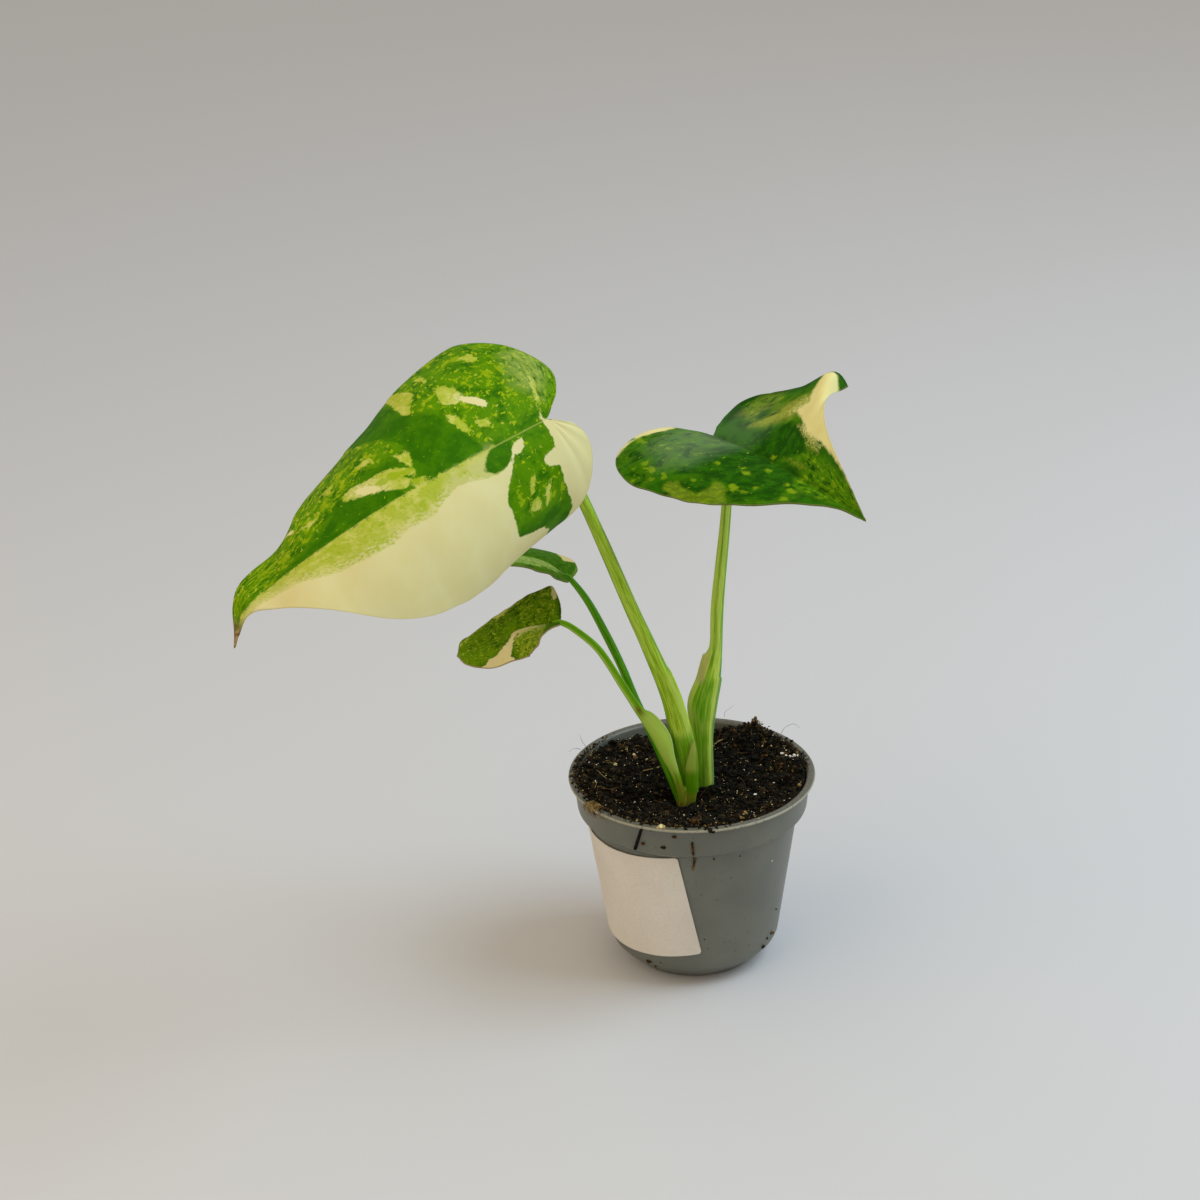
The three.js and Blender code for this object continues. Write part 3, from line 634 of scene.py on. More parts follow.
def leafMaterial(name, design, underside=False):
    skin = Skin(name, 0.6)
    tones = {key: colour(*value) for key, value in design["tones"].items()}
    soft = design["softness"]
    flat, veins = (skin.node("UVMap", {}, uv_map=layer) for layer in ("flat", "veins"))
    broad = flat.grain(0.1, 3)
    spots = flat.grain(0.55, 3, 0.6, 0.6)
    middling = veins.stretched(36, 8, 1).grain(1.0, 4, 0.6, 0.2)
    flecks = veins.stretched(84, 20, 1).grain(1.0, 4, 0.62, 0.2)
    fine = veins.stretched(190, 46, 1).grain(1.0, 2)
    # Borders of the markings run ragged, part of it along the veins
    alongVeins = veins.stretched(50, 9, 1).grain(1.0, 3, 0.65)
    ragged = (flat.grain(0.5, 5, 0.7) + alongVeins) * 0.5 - 0.5

    def border(mark, wander, width):
        return (skin.attribute(mark) + ragged * wander).above(-width * soft, width * soft)

    # Flecks grow denser where the speckled field is strong
    speckled = skin.attribute("speckled")
    dense = speckled * 0.13
    skin.tone = skin.mix(broad.above(0.4, 0.6), tones["deep"], tones["mid"])
    skin.paint((middling.above(0.36, 0.54) * speckled).clamped(), tones["warm"], 0.85)
    skin.paint((middling + dense).above(0.7, 0.74), tones["fleck"], 0.7)
    skin.paint((dense - middling).above(-0.3, -0.24), tones["deep"], 0.6)
    skin.paint((flecks + dense).above(0.68, 0.68 + 0.05 * soft), tones["fleck"])
    skin.paint((spots + dense).above(0.74, 0.74 + 0.04 * soft), tones["pale"], 0.85)

    # Pale tissue is flecked with green, and breaks up into cream before it meets it
    cream = skin.mix(broad.above(0.3, 0.7), tones["cream"], tones["warmCream"])
    pale = skin.mix(middling.above(0.44, 0.62), tones["pale"], tones["paleLight"])
    pale = skin.mix(flecks.above(0.5, 0.64), pale, tones["fleck"], 0.6)
    pale = skin.mix(fine.above(0.54, 0.66), pale, tones["fleck"], 0.6)
    nearCream = skin.attribute("cream") + (fine - 0.5) * 16.0
    pale = skin.mix(nearCream.above(-4.0, 1.5), pale, cream, 0.8)
    dark = skin.mix(middling.above(0.36, 0.7), tones["deep"], tones["mid"])
    dark = skin.mix(flecks.above(0.62, 0.7), dark, tones["warm"], 0.7)
    dark = skin.mix(spots.above(0.665, 0.715), dark, tones["fleck"])
    skin.paint(border("pale", 8.0, 0.45), pale)
    skin.paint(skin.attribute("milky") * middling.above(0.3, 0.5), tones["milky"])
    skin.paint(border("dark", 4.0, 0.5), dark)
    skin.paint(border("spots", 8.0, 0.4), tones["fleck"], 0.8)
    skin.paint(border("cream", 3.5, 0.3), cream)

    # The midrib is a thin pale line, the margin a thin brown one, and the tip can be dry
    across = skin.node("SeparateXYZ", {0: flat}, 1).maths("ABSOLUTE")
    skin.paint(across.below(0.15, 0.45), tones["paleLight"], design["rib"])
    skin.paint(skin.attribute("fromEdge").below(0.1, 0.45), colour(158, 138, 96), design["margin"])
    dry = skin.mix(spots.above(0.4, 0.6), colour(158, 136, 92), colour(112, 88, 54))
    skin.paint(skin.attribute("dry"), dry)
    if underside:
        skin.paint(0.4, colour(146, 160, 100))
    skin.feed("Specular IOR Level", skin.attribute("glossy") * 0.85 + 0.03)
    waves = {"Vector": veins.stretched(1, 0.04, 1), "Scale": 9.0, "Distortion": 0.6, "Detail": 2.0}
    ribs = skin.node("TexWave", waves, "Fac", wave_profile="SIN")
    skin.bump((ribs + fine) * 0.5, 0.3, 0.12)
    return skin.finish()


leaves = {
    "leaf_large": (largeLeaf, largeMarkings),
    "leaf_right": (rightLeaf, rightMarkings),
    "leaf_upper": (upperLeaf, upperMarkings),
    "leaf_lower": (lowerLeaf, lowerMarkings),
}
for leafName, (design, markings) in leaves.items():
    blade = makeBlade(leafName + "_fine", design, markings)
    top, underside = (leafMaterial(f"{leafName} {side}", design, side == "underside")
                      for side in ("top", "underside"))
    finishPiece(blade, [top, underside], leafName, 60)
print("leaves ready")

# Stalks: rings along a curve. A station is x, y, z, half width, half thickness and the depth of its
# gutter. Round a ring, 0 degrees is the left edge, 90 the back, 180 the right edge and 270 the front.
# A band is (kind, lowest height, highest height, middle angle, half width in degrees, strength).
# A wing widens one edge: (edge angle, lowest height, height of its blunt tip, width at the tip).
stalks = {
    "petiole_large": {
        "stations": [(-0.8, -4, 59, 2.8, 2), (-1.4, -5.9, 72, 3.6, 2.2), (-2.9, -9, 85.8, 4.5, 2.4, 0.5),
                     (-7.1, -12, 107.4, 3.6, 2.5, 0.4), (-14.7, -17, 130.7, 2.8, 2.5),
                     (-20.4, -20, 146.5, 2.5, 2.3), (-28.2, -25, 169.6, 2.3, 2.1),
                     (-35, -31, 189.9, 2.1, 2), (-41.3, -40, 208.8, 2.1, 2), (-49.3, -41.4, 222, 1.9, 1.8),
                     (-47.9, -43.9, 226, 1.5, 1.4)],
        "light": (180, 208, 74), "deep": (128, 168, 4), "rings": 190, "sides": 40,
        "wings": [(180, 88, 120.5, 0.5)],
        "bands": [("pale", 84, 119, 216, 12, 0.7), ("dark", 96, 222, 322, 9, 0.5),
                  ("dark", 100, 215, 250, 7, 0.25), ("dark", 60, 94, 262, 70, 0.7),
                  ("pale", 125, 222, 292, 10, 0.3), ("coolSheen", 118, 226, 190, 9, 0.8),
                  ("coolSheen", 60, 110, 352, 6, 0.5)],
    },
    "petiole_right": {
        "stations": [(4.6, -2.5, 58, 3.3, 2.2), (4.4, -3.2, 72, 3.6, 2.3), (4.1, -3.5, 88, 3.8, 2.3, 0.3),
                     (4, -3.8, 100.5, 5.4, 2, 0.8), (6.5, -3.3, 111, 4.3, 1.9, 0.8),
                     (8.4, -3, 119.5, 3.1, 1.9, 0.4), (9.4, -2.6, 125, 2.3, 1.9),
                     (10.2, -2, 141.2, 2.3, 2), (13.7, -1, 177, 1.8, 1.7), (12.9, -0.8, 191, 1.8, 1.7),
                     (9.6, 0.3, 201.2, 1.7, 1.6)],
        "light": (196, 216, 92), "deep": (116, 170, 0), "rings": 190, "sides": 40,
        "wings": [(0, 108, 120.3, 0.9), (180, 100, 113, 0.45)],
        "bands": [("dark", 56, 112, 268, 34, 0.7), ("pale", 88, 112, 332, 20, 0.95),
                  ("pale", 70, 92, 345, 14, 0.8), ("rosy", 109, 121, 322, 34, 0.8),
                  ("pale", 66, 121, 222, 9, 0.7), ("coolSheen", 66, 121, 196, 14, 0.8),
                  ("white", 118, 200, 346, 12, 0.5), ("pale", 120, 200, 306, 15, 0.7),
                  ("dark", 116, 200, 273, 9, 0.7), ("pale", 120, 200, 246, 13, 0.7),
                  ("coolSheen", 120, 201, 203, 13, 0.8), ("dry", 118, 148, 357, 4, 0.5)],
    },
    "petiole_upper": {
        "stations": [(-3.6, -7.6, 62, 1.8, 1.2), (-8.3, -9, 77.5, 2, 1.3), (-14, -8, 91.7, 1.7, 1.4),
                     (-19.3, -6, 103.7, 1.5, 1.4), (-24.2, -3, 116.3, 1.5, 1.4),
                     (-29.2, -1, 127.7, 1.5, 1.4), (-35.6, 0, 141.1, 1.3, 1.2),
                     (-41.4, -0.1, 150, 1.0, 0.95), (-44, 0.3, 152, 0.6, 0.5)],
        "light": (100, 162, 22), "deep": (46, 114, 0), "rings": 120, "sides": 28,
        "bands": [("coolSheen", 100, 150, 202, 12, 0.5), ("pale", 100, 150, 300, 8, 0.3)],
    },
    "petiole_lower": {
        "stations": [(-3.4, -10, 65, 1.4, 1), (-5.4, -12, 75, 1.5, 1), (-6.7, -12.5, 79.5, 1.7, 1.1),
                     (-8.9, -13, 85.6, 2.5, 1.1, 0.5), (-11.3, -13, 93, 3.4, 1.2, 0.8),
                     (-15.2, -12.5, 99.5, 3, 1.2, 0.6), (-19, -12.2, 104.3, 1.7, 1.3),
                     (-24.1, -12, 113.2, 1.4, 1.3), (-32.2, -11, 127.2, 1.3, 1.3),
                     (-40.5, -10.3, 135.2, 1.2, 1.15), (-45.3, -10, 138, 1.05, 0.95),
                     (-48.5, -9.8, 138, 0.6, 0.5)],
        "light": (146, 196, 46), "deep": (92, 152, 0), "rings": 150, "sides": 32,
        "wings": [(180, 82, 102.5, 0.5)],
        "bands": [("pale", 78, 103, 262, 72, 0.6), ("pale", 104, 138, 288, 9, 1),
                  ("white", 80, 102, 184, 9, 1), ("dark", 104, 138, 336, 16, 0.6),
                  ("dark", 104, 138, 224, 22, 0.7), ("dry", 102.5, 106, 250, 30, 1),
                  ("dark", 66, 101, 352, 9, 0.6), ("olive", 60, 76, 250, 180, 0.7),
                  ("dry", 70, 80, 262, 14, 0.4)],
    },
    "bract": {
        "stations": [(-0.6, -10.6, 64, 1.2, 0.4, 0.3), (-0.4, -11.8, 72, 2.1, 0.45, 0.6),
                     (-0.4, -12.4, 80, 2.2, 0.45, 0.6), (0.2, -12.5, 86, 1.5, 0.4, 0.3),
                     (0.5, -12.4, 91.5, 0.4, 0.35)],
        "light": (118, 148, 36), "deep": (80, 126, 4), "rings": 60, "sides": 24,
        "bands": [("dark", 60, 79, 275, 70, 0.8), ("pale", 78, 92, 285, 70, 0.4),
                  ("rosy", 86, 92, 285, 70, 0.3), ("olive", 58, 70, 270, 180, 0.8)],
    },
    "stem": {
        "stations": [(-3, -7.5, 48, 3.2, 3.2), (-2.7, -8, 62, 3.2, 3.2), (-2.3, -8.2, 66.5, 3.3, 3.3),
                     (-2, -8.3, 70.5, 3, 3)],
        "light": (148, 156, 50), "deep": (98, 108, 24), "rings": 40, "sides": 32,
        "bands": [("dry", 58, 71, 300, 8, 0.5), ("dry", 60, 64, 270, 90, 0.4)],
    },
}
# The cool sheen band is painted light: the bluish window light on the stalks' edges, mostly the right ones.
bandTones = {
    "pale": (184, 202, 96), "dark": (78, 142, 0), "coolSheen": (84, 140, 84), "white": (214, 220, 168),
    "dry": (100, 66, 30), "rosy": (182, 176, 112), "olive": (134, 142, 40),
}


def makeStalk(name, design):
    piece, along, around = addGrid(name + "_fine", design["rings"], design["sides"])
    stations = np.array([list(station) + [0] * (6 - len(station)) for station in design["stations"]])
    centre = curveAt(stations[:, :3], along)
    heading = headingAt(stations[:, :3], along)
    form = curveAt(stations[:, 3:], along)
    facing = (0, 1, 0.1) if name in ("stem", "bract") else (0.2, 1, 0.1)
    side = unit(np.cross(heading, facing))
    face = np.cross(side, heading)
    angle = 2 * np.pi * around + np.pi / 2
    wide, thick = np.cos(angle), np.sin(angle)
    # A broad flat ring gets thin edges, as a sheath has
    pinch = np.clip((form[:, 0] / form[:, 1] - 1.4) * 0.7, 0, 1.1)
    reach = form[:, 0].copy()
    height = centre[:, 2]
    for edge, low, tip, width in design.get("wings", []):
        blunt = smooth(tip - height, 0, 0.7) * smooth(height, low, tip)
        reach += width * blunt * smooth(np.cos(angle - math.radians(edge)), 0.3, 1)
    depth = form[:, 1] * np.sign(thick) * np.abs(thick) ** (1 + pinch) + form[:, 2] * (wide**2 - 0.5)
    # Fine lengthwise ribs
    ribs = 1 + 0.012 * np.cos(9 * angle) * (np.abs(thick) > 0.2)
    movePoints(piece, centre + side * (reach * wide * ribs)[:, None] + face * (depth * ribs)[:, None])
    # The place in the streaks' pattern, which is drawn out along the stalk
    writeVector(piece, "along", np.stack([wide * 3, thick * 3, height * 0.05], -1))
    degrees = np.degrees(angle)
    for kind in bandTones:
        amount = np.zeros(len(angle))
        for bandKind, low, high, middle, half, strength in design["bands"]:
            if bandKind == kind:
                away = np.abs((degrees - middle + 180) % 360 - 180)
                ends = smooth(height, low - 1.5, low + 2.5) * smooth(-height, -high - 1.5, -high + 2.5)
                amount = np.maximum(amount, strength * ends * (1 - smooth(away, half * 0.6, half * 1.3)))
        writeValue(piece, kind, amount)
    closeMesh(piece)
    return piece


def stalkMaterial(name, design):
    skin = Skin(name, 0.38)
    light, deep = colour(*design["light"]), colour(*design["deep"])
    place = skin.attribute("along", "Vector")
    streaks, fine = place.grain(2.2, 3, 0.6), place.grain(7.0, 2, 0.6)
    skin.tone = skin.mix(streaks.above(0.36, 0.66), light, deep)
    skin.paint(fine.above(0.45, 0.8), deep, 0.25)
    # The bands are streaked too. The cool sheen band is a painted reflection of the cool window light,
    # mostly on the right edges.
    waver = (streaks - 0.5) * 1.3 + 1.0
    for kind, tone in bandTones.items():
        skin.paint((waver * skin.attribute(kind)).clamped(), colour(*tone))
    skin.feed("Specular IOR Level", 0.05)
    skin.bump(fine, 0.25, 0.15)
    return skin.finish()


for name, design in stalks.items():
    piece = makeStalk(name, design)
    finishPiece(piece, [stalkMaterial(name + " skin", design)], name, 60)
print("stalks ready")

# Soil: a relief by formula, with a heap at the back right, crumbs, grains and fibres on it
# A hill is (x, y, size, rise), and a pale grain (x, y, size, tone). The ramp gives colours for tones.
soil = {
    "ramp": [(0, (2, 2, 1)), (0.22, (10, 8, 6)), (0.42, (42, 31, 18)), (0.6, (104, 74, 38)),
             (0.78, (178, 156, 88)), (0.9, (216, 200, 146)), (1, (240, 234, 220))],
    "level": 67.6, "edge": 41, "sides": 240, "rings": 96, "topShare": 0.92, "bank": 2.9,
    "hollowAngle": 102, "hollowWidth": 36,
    "crumbs": 8000, "coarse": 900, "heap": 200, "grains": 620, "fibres": 75, "twigs": 26,
    "hills": [(-4, -10.5, 4.3, -7), (9, -6, 4, 0.8), (24, 28, 6.5, 4.6), (0, 36, 9, -2.2),
              (-16, 12, 8, -1)],
    "pale": [(34, 14, 0.9, 0.98), (35.4, 12.6, 0.7, 1), (36.8, 11.4, 0.9, 0.97), (38.2, 10.4, 1, 1),
             (39.2, 9.2, 0.8, 0.9), (37.6, 9.8, 0.6, 1), (29.7, -3.8, 0.65, 0.97), (22.3, -13, 0.85, 1),
             (14.3, 9.6, 0.9, 0.84), (-23.1, 24.2, 1.1, 0.8), (-27.6, 14, 1.2, 0.82),
             (-15.8, 19.3, 0.8, 0.84), (-21.2, -14.3, 0.6, 0.95), (-24.8, -23.9, 0.6, 0.85),
             (-3.9, -26.8, 0.7, 0.88), (14.6, -27.3, 0.6, 0.97), (27.8, -22.1, 1, 0.78),
             (-20.5, 22.6, 0.9, 0.76), (31, 24, 1, 0.84)],
    "peak": (25.3, 31.6, 78.2),
    "under": [(40.4, 61.9), (36.9, 58.7), (29.6, 10.2), (28.6, 8.7), (24.1, 3.2), (0, 3.2)],
}


# Radius of the soil's edge, just inside the pot's collar, which widens by 1 mm in 9.3
def edgeRadius(height):
    return 40.45 + (height - 61.3) / 9.3


def soilHeight(x, y):
    lumps = (np.sin(0.62 * x + 1.3) * np.cos(0.55 * y) + np.sin(0.9 * y - 0.5 * x)
             + 0.7 * np.cos(1.2 * x + 0.8 * y + 2))
    height = soil["level"] + 0.8 * smooth(np.hypot(x, y), 22, 40) + 0.3 * lumps
    for hillX, hillY, size, rise in soil["hills"]:
        height = height + rise * np.exp(-((x - hillX) ** 2 + (y - hillY) ** 2) / (2 * size**2))
    # Crumbs are banked against the wall, but for a hollow at the back
    turn = (np.degrees(np.arctan2(y, x)) - soil["hollowAngle"] + 180) % 360 - 180
    banked = 1 - np.exp(-(turn / soil["hollowWidth"]) ** 2)
    return height + soil["bank"] * banked * smooth(np.hypot(x, y), 30, 40.5)


def roughness(x, y, scale, octaves):
    return np.array([noise.fractal((a * scale, b * scale, 3.7), 0.8, 2.1, octaves) for a, b in zip(x, y)])


def clodHeight(x, y):
    return soilHeight(x, y) + 1.7 * roughness(x, y, 0.3, 3) * smooth(soil["edge"] - np.hypot(x, y), 0, 2)


# A place on the soil's relief, lifted by a little
def onSoil(x, y, lift):
    return np.array([x, y, soilHeight(x, y) + lift])


def makeSoil():
    piece, outwards, around = addGrid("soil_fine", soil["rings"], soil["sides"])
    angle = 2 * np.pi * around
    share = np.clip(outwards / soil["topShare"], 0, 1)
    edgeHeight = soilHeight(soil["edge"] * np.cos(angle), soil["edge"] * np.sin(angle))
    radius = share * edgeRadius(np.minimum(edgeHeight, 70))
    x, y = radius * np.cos(angle), radius * np.sin(angle)
    calm = smooth(1 - share, 0, 0.02)
    height = clodHeight(x, y) + calm * 0.8 * roughness(x, y, 1.0, 3)
    # Past the edge the grid turns down the pot's inside and closes under the soil
    below = outwards > soil["topShare"]
    step = (outwards[below] - soil["topShare"]) / (1 - soil["topShare"]) * (len(soil["under"]) - 1)
    under = np.array(soil["under"], float)
    lowRadius = np.interp(step, range(len(under)), under[:, 0])
    height[below] = np.interp(step, range(len(under)), under[:, 1])
    x[below], y[below] = lowRadius * np.cos(angle[below]), lowRadius * np.sin(angle[below])
    movePoints(piece, np.stack([x, y, height], -1))
    writeValue(piece, "tone", np.full(len(x), 0.2))
    closeMesh(piece)
    return piece


# Many small lumps as one mesh: each has a place, a size, a tone from 0 dark to 1 pale
def makeLumps(name, places, sizes, tones, chance, detail=1, flatness=0.75):
    deselect()
    bpy.ops.mesh.primitive_ico_sphere_add(subdivisions=detail, radius=1)
    pattern = bpy.context.object
    shape = readPoints(pattern)
    faces = np.array([list(face.vertices) for face in pattern.data.polygons])
    bpy.data.objects.remove(pattern)
    allPoints, allFaces, allTones = [], [], []
    for number, (place, size, tone) in enumerate(zip(places, sizes, tones)):
        turn = np.linalg.qr(chance.normal(size=(3, 3)))[0]
        if np.linalg.det(turn) < 0:
            turn[:, 0] *= -1
        stretch = chance.uniform(0.6, 1.25, 3)
        lump = (shape * chance.uniform(0.7, 1.25, (len(shape), 1)) * stretch) @ turn.T
        lump[:, 2] *= flatness
        allPoints.append(np.asarray(place) + lump * size)
        allFaces.append(faces + number * len(shape))
        allTones.append(np.full(len(shape), tone))
    return addMesh(name, allPoints, np.concatenate(allFaces).tolist(), allTones)


# Thin threads as one mesh, each a list of points, a radius and a tone
def makeThreads(name, threads, sides=4, stations=9):
    allPoints, allFaces, allTones = [], [], []
    count = 0
    ring = np.arange(sides) * 2 * np.pi / sides
    for points, radius, tone in threads:
        share = np.linspace(0, 1, stations)
        line, heading = curveAt(points, share), headingAt(points, share)
        first = unit(np.cross(heading, (0.3, 0.2, 1)))
        second = np.cross(heading, first)
        thin = radius * (1 - 0.6 * share[:, None, None] ** 2)
        tube = line[:, None] + thin * (first[:, None] * np.cos(ring)[None, :, None]
                                       + second[:, None] * np.sin(ring)[None, :, None])
        allPoints.append(tube.reshape(-1, 3))
        for station in range(stations - 1):
            for side in range(sides):
                low, ahead = count + station * sides, (side + 1) % sides
                allFaces.append((low + side, low + sides + side, low + sides + ahead, low + ahead))
        last = count + (stations - 1) * sides
        allFaces.append(tuple(count + side for side in range(sides)))
        allFaces.append(tuple(last + side for side in reversed(range(sides))))
        allTones.append(np.full(stations * sides, tone))
        count += stations * sides
    piece = addMesh(name, allPoints, allFaces, allTones)
    closeMesh(piece, fill=False)
    return piece


def soilMaterial():
    skin = Skin("potting soil", 0.95)
    place = skin.place()
    patches, dust = place.grain(260, 4, 0.65), place.grain(1400, 3, 0.7)
    # The crumbs are drier and browner towards the wall
    dryness = place.fromAxis().above(18 * mm, 38 * mm) * 0.13 * patches.above(0.4, 0.56)
    shade = skin.attribute("tone") + (patches - 0.5) * 0.36 + dryness
    shown = skin.node("ValToRGB", {"Fac": shade})
    elements = shown.socket.node.color_ramp.elements
    while len(elements) < len(soil["ramp"]):
        elements.new(0.5)
    for element, (position, tone) in zip(elements, soil["ramp"]):
        element.position = position
        element.color = colour(*tone)
    skin.tone = skin.mix(dust.above(0.54, 0.68), shown, colour(84, 76, 36), 0.42)
    skin.feed("Specular IOR Level", 0.15)
    skin.bump(patches + dust, 0.8, 0.5)
    return skin.finish()


def soilPlaces(amount, chance, most=soil["edge"]):
    radius = most * np.sqrt(chance.uniform(0, 1, amount))
    angle = chance.uniform(0, 2 * np.pi, amount)
    x, y = radius * np.cos(angle), radius * np.sin(angle)
    return np.stack([x, y, clodHeight(x, y)], -1)


# A crooked thread from a start, wandering over the soil
def soilThread(start, chance, reach, lift):
    points = [start]
    turn = chance.uniform(0, 2 * np.pi)
    for step in range(4):
        turn += chance.normal(0, 0.6)
        ahead = chance.uniform(0.3, 1) * reach
        x, y = points[-1][0] + ahead * np.cos(turn), points[-1][1] + ahead * np.sin(turn)
        inside = min(1, (soil["edge"] - 1) / np.hypot(x, y))
        points.append(onSoil(x * inside, y * inside, chance.uniform(*lift)))
    return points


def makeSoilLumps(chance):
    count = soil["crumbs"]
    lift = np.zeros((count, 3))
    lift[:, 2] = chance.uniform(-0.5, 1.2, count)
    sizes = 0.2 + 0.85 * chance.beta(1.2, 3.2, count)
    places = soilPlaces(count, chance) + lift
    tones = chance.beta(1.1, 3.7, count) * 0.74
    crumbs = makeLumps("crumbs", places, sizes, tones, chance)
    count = soil["coarse"]
    places = soilPlaces(count, chance, soil["edge"] - 1.5) + (0, 0, 0.3)
    sizes = chance.uniform(0.6, 1.6, count)
    tones = chance.beta(1.2, 4, count) * 0.66
    coarse = makeLumps("coarse_crumbs", places, sizes, tones, chance, 2)
    # The heap ends in a crumbly peak
    count = soil["heap"]
    peak = np.array(soil["peak"])
    rise = chance.uniform(0, 1, count)
    spread = chance.normal(0, 1, (count, 2)) * (0.16 + 3.2 * (1 - rise[:, None]) ** 1.4)
    places = np.column_stack([peak[:2] + spread, peak[2] - 7.5 * (1 - rise)])
    sizes = chance.uniform(0.3, 0.75, count) * (1 - 0.45 * rise)
    tones = 0.24 + chance.beta(1.5, 2.6, count) * 0.5
    heap = makeLumps("heap", places, sizes, tones, chance)
    count = soil["grains"]
    places = soilPlaces(count, chance) + (0, 0, 0.85)
    sizes = 0.13 + 0.3 * chance.beta(1, 3, count)
    tones = chance.uniform(0.6, 0.98, count)
    grains = makeLumps("grains", places, sizes, tones, chance)
    places = [onSoil(x, y, 0.9) for x, y, size, tone in soil["pale"]]
    sizes, tones = [grain[2] * 0.62 for grain in soil["pale"]], [grain[3] for grain in soil["pale"]]
    paleGrains = makeLumps("pale_grains", places, sizes, tones, chance, 2)
    return crumbs, coarse, heap, grains, paleGrains


def makeSoilFibres(chance):
    threads = []
    for place in soilPlaces(soil["fibres"], chance, soil["edge"] - 3):
        path = soilThread(place + (0, 0, 0.6), chance, 3, (0.6, 2))
        threads.append((path, chance.uniform(0.04, 0.1), chance.uniform(0.34, 0.6)))
    # Lighter fibres at the left, two crossed ones behind the stalks, and twigs in the heap's peak
    for x, y in chance.uniform((-38, -24), (-24, 16), (11, 2)):
        path = soilThread(onSoil(x, y, 1), chance, 3.4, (0.8, 2.2))
        threads.append((path, 0.11, chance.uniform(0.5, 0.68)))
    for path in ([(8.6, 17.1), (7.5, 22), (9, 26)], [(9, 27), (11.5, 29.5), (13.6, 29)],
                 [(-17.5, 10.5), (-13, 13), (-9.6, 14.8)]):
        threads.append(([onSoil(x, y, 1.4) for x, y in path], 0.2, 0.68))
    for number in range(soil["twigs"]):
        start = np.array(soil["peak"]) - (0, 0, 4.5) + chance.normal(0, 0.7, 3)
        end = start + chance.uniform((-1.8, -1.8, 0.4), (1.8, 1.8, 2.2))
        threads.append(([start, end], 0.14, chance.uniform(0.3, 0.6)))
    return makeThreads("fibres", threads)


earth = soilMaterial()
finishPiece(makeSoil(), [earth], "soil", 50)
soilChance = np.random.default_rng(11)
for piece in (*makeSoilLumps(soilChance), makeSoilFibres(soilChance)):
    finishPiece(piece, [earth], "soil")
print("soil ready")

# Pot: a thin grey plastic nursery pot with drains, and a blank paper label round its tapered body.
# The wall rises straight from its heel to its shoulder, given by radius and height.
heel, shoulder = (31.2, 9.4), (38.45, 57.8)
pot = {
    "sides": 144, "drains": 6, "drainRadius": 2.6, "drainRing": 13.5,
    "profile": [(0, 0), (8, 0), (8.6, 1.6), (18.4, 1.6), (19, 0), (23, 0), (26.4, 3.6), (27.4, 4.1),
                (30.3, 7.3), heel, shoulder, (41.7, 60.3), (41.95, 61.2), (42.9, 70.7),
                (44.4, 71), (45, 71.7), (44.7, 72.3), (44.2, 72.5), (42.7, 72.5), (41.9, 71.9),
                (41.69, 70), (40.77, 61.5), (37.3, 58.4), (30.05, 9.8), (29.4, 8.6), (24.3, 2.9),
                (0, 2.9)],
}
label = {
    "width": 84, "height": 44, "thickness": 0.3, "corner": 1.3, "angle": -163, "middle": 33, "gap": 0.3,
}


# The profile with each corner eased by a short curve
def easedProfile(profile, ease):
    points = [profile[0]]
    for before, corner, after in zip(profile, profile[1:], profile[2:]):
        before, corner, after = (np.array(point, float) for point in (before, corner, after))
        cutIn = min(ease, 0.4 * np.linalg.norm(corner - before))
        cutOut = min(ease, 0.4 * np.linalg.norm(after - corner))
        start = corner + unit(before - corner) * cutIn
        end = corner + unit(after - corner) * cutOut
        for t in (0, 0.33, 0.67, 1):
            points.append((1 - t) ** 2 * start + 2 * t * (1 - t) * corner + t * t * end)
    points.append(profile[-1])
    return np.array([np.asarray(point, float) for point in points])


def makePot():
    profile = easedProfile(pot["profile"], 0.45)
    piece, along, around = addGrid("pot_fine", len(profile) - 1, pot["sides"])
    station = np.rint(along * (len(profile) - 1)).astype(int)
    radius, height = profile[station, 0], profile[station, 1]
    movePoints(piece, turned(radius, 2 * np.pi * around, height))
    closeMesh(piece, fill=False)
    drills = []
    for number in range(pot["drains"]):
        angle = (number + 0.5) * 2 * math.pi / pot["drains"]
        deselect()
        bpy.ops.mesh.primitive_cylinder_add(vertices=32, radius=pot["drainRadius"] * mm, depth=4 * mm,
                                            location=turned(pot["drainRing"], angle, 2.2) * mm)
        drills.append(bpy.context.object)
    drill = joinPieces("drill", drills)
    applyModifier(piece, "BOOLEAN", object=drill, operation="DIFFERENCE", solver="EXACT")
    bpy.data.objects.remove(drill)
    return piece


def potMaterial():
    skin = Skin("grey pot plastic")
    place = skin.place()
    clouds, fine = place.grain(40, 4, 0.6), place.grain(900, 2)
    height, outwards = skin.node("SeparateXYZ", {0: place}, 2), place.fromAxis()
    skin.tone = skin.mix(clouds.above(0.35, 0.7), colour(95, 97, 87), colour(107, 108, 97))
    # Specks of soil stick to the wall, and the lip is dirty but for a painted highlight, a pale band along
    # its outer edge
    specks = place.grain(620, 2, 0.7).above(0.66, 0.7) * clouds.above(0.4, 0.6)
    skin.paint(specks, colour(58, 48, 36), 0.5)
    onLip = height.above(71.6 * mm, 72.2 * mm)
    skin.paint(onLip * fine.above(0.2, 0.6), colour(78, 75, 62), 0.85)
    edgeHighlight = outwards.above(44.5 * mm, 44.8 * mm) * height.above(71.1 * mm, 71.4 * mm)
    skin.paint(edgeHighlight * fine.above(0.2, 0.5), colour(168, 162, 138), 0.8)
    skin.feed("Roughness", clouds.above(0.3, 0.7) * 0.14 + 0.36)
    skin.bump(fine, 0.06, 0.1)
    return skin.finish()


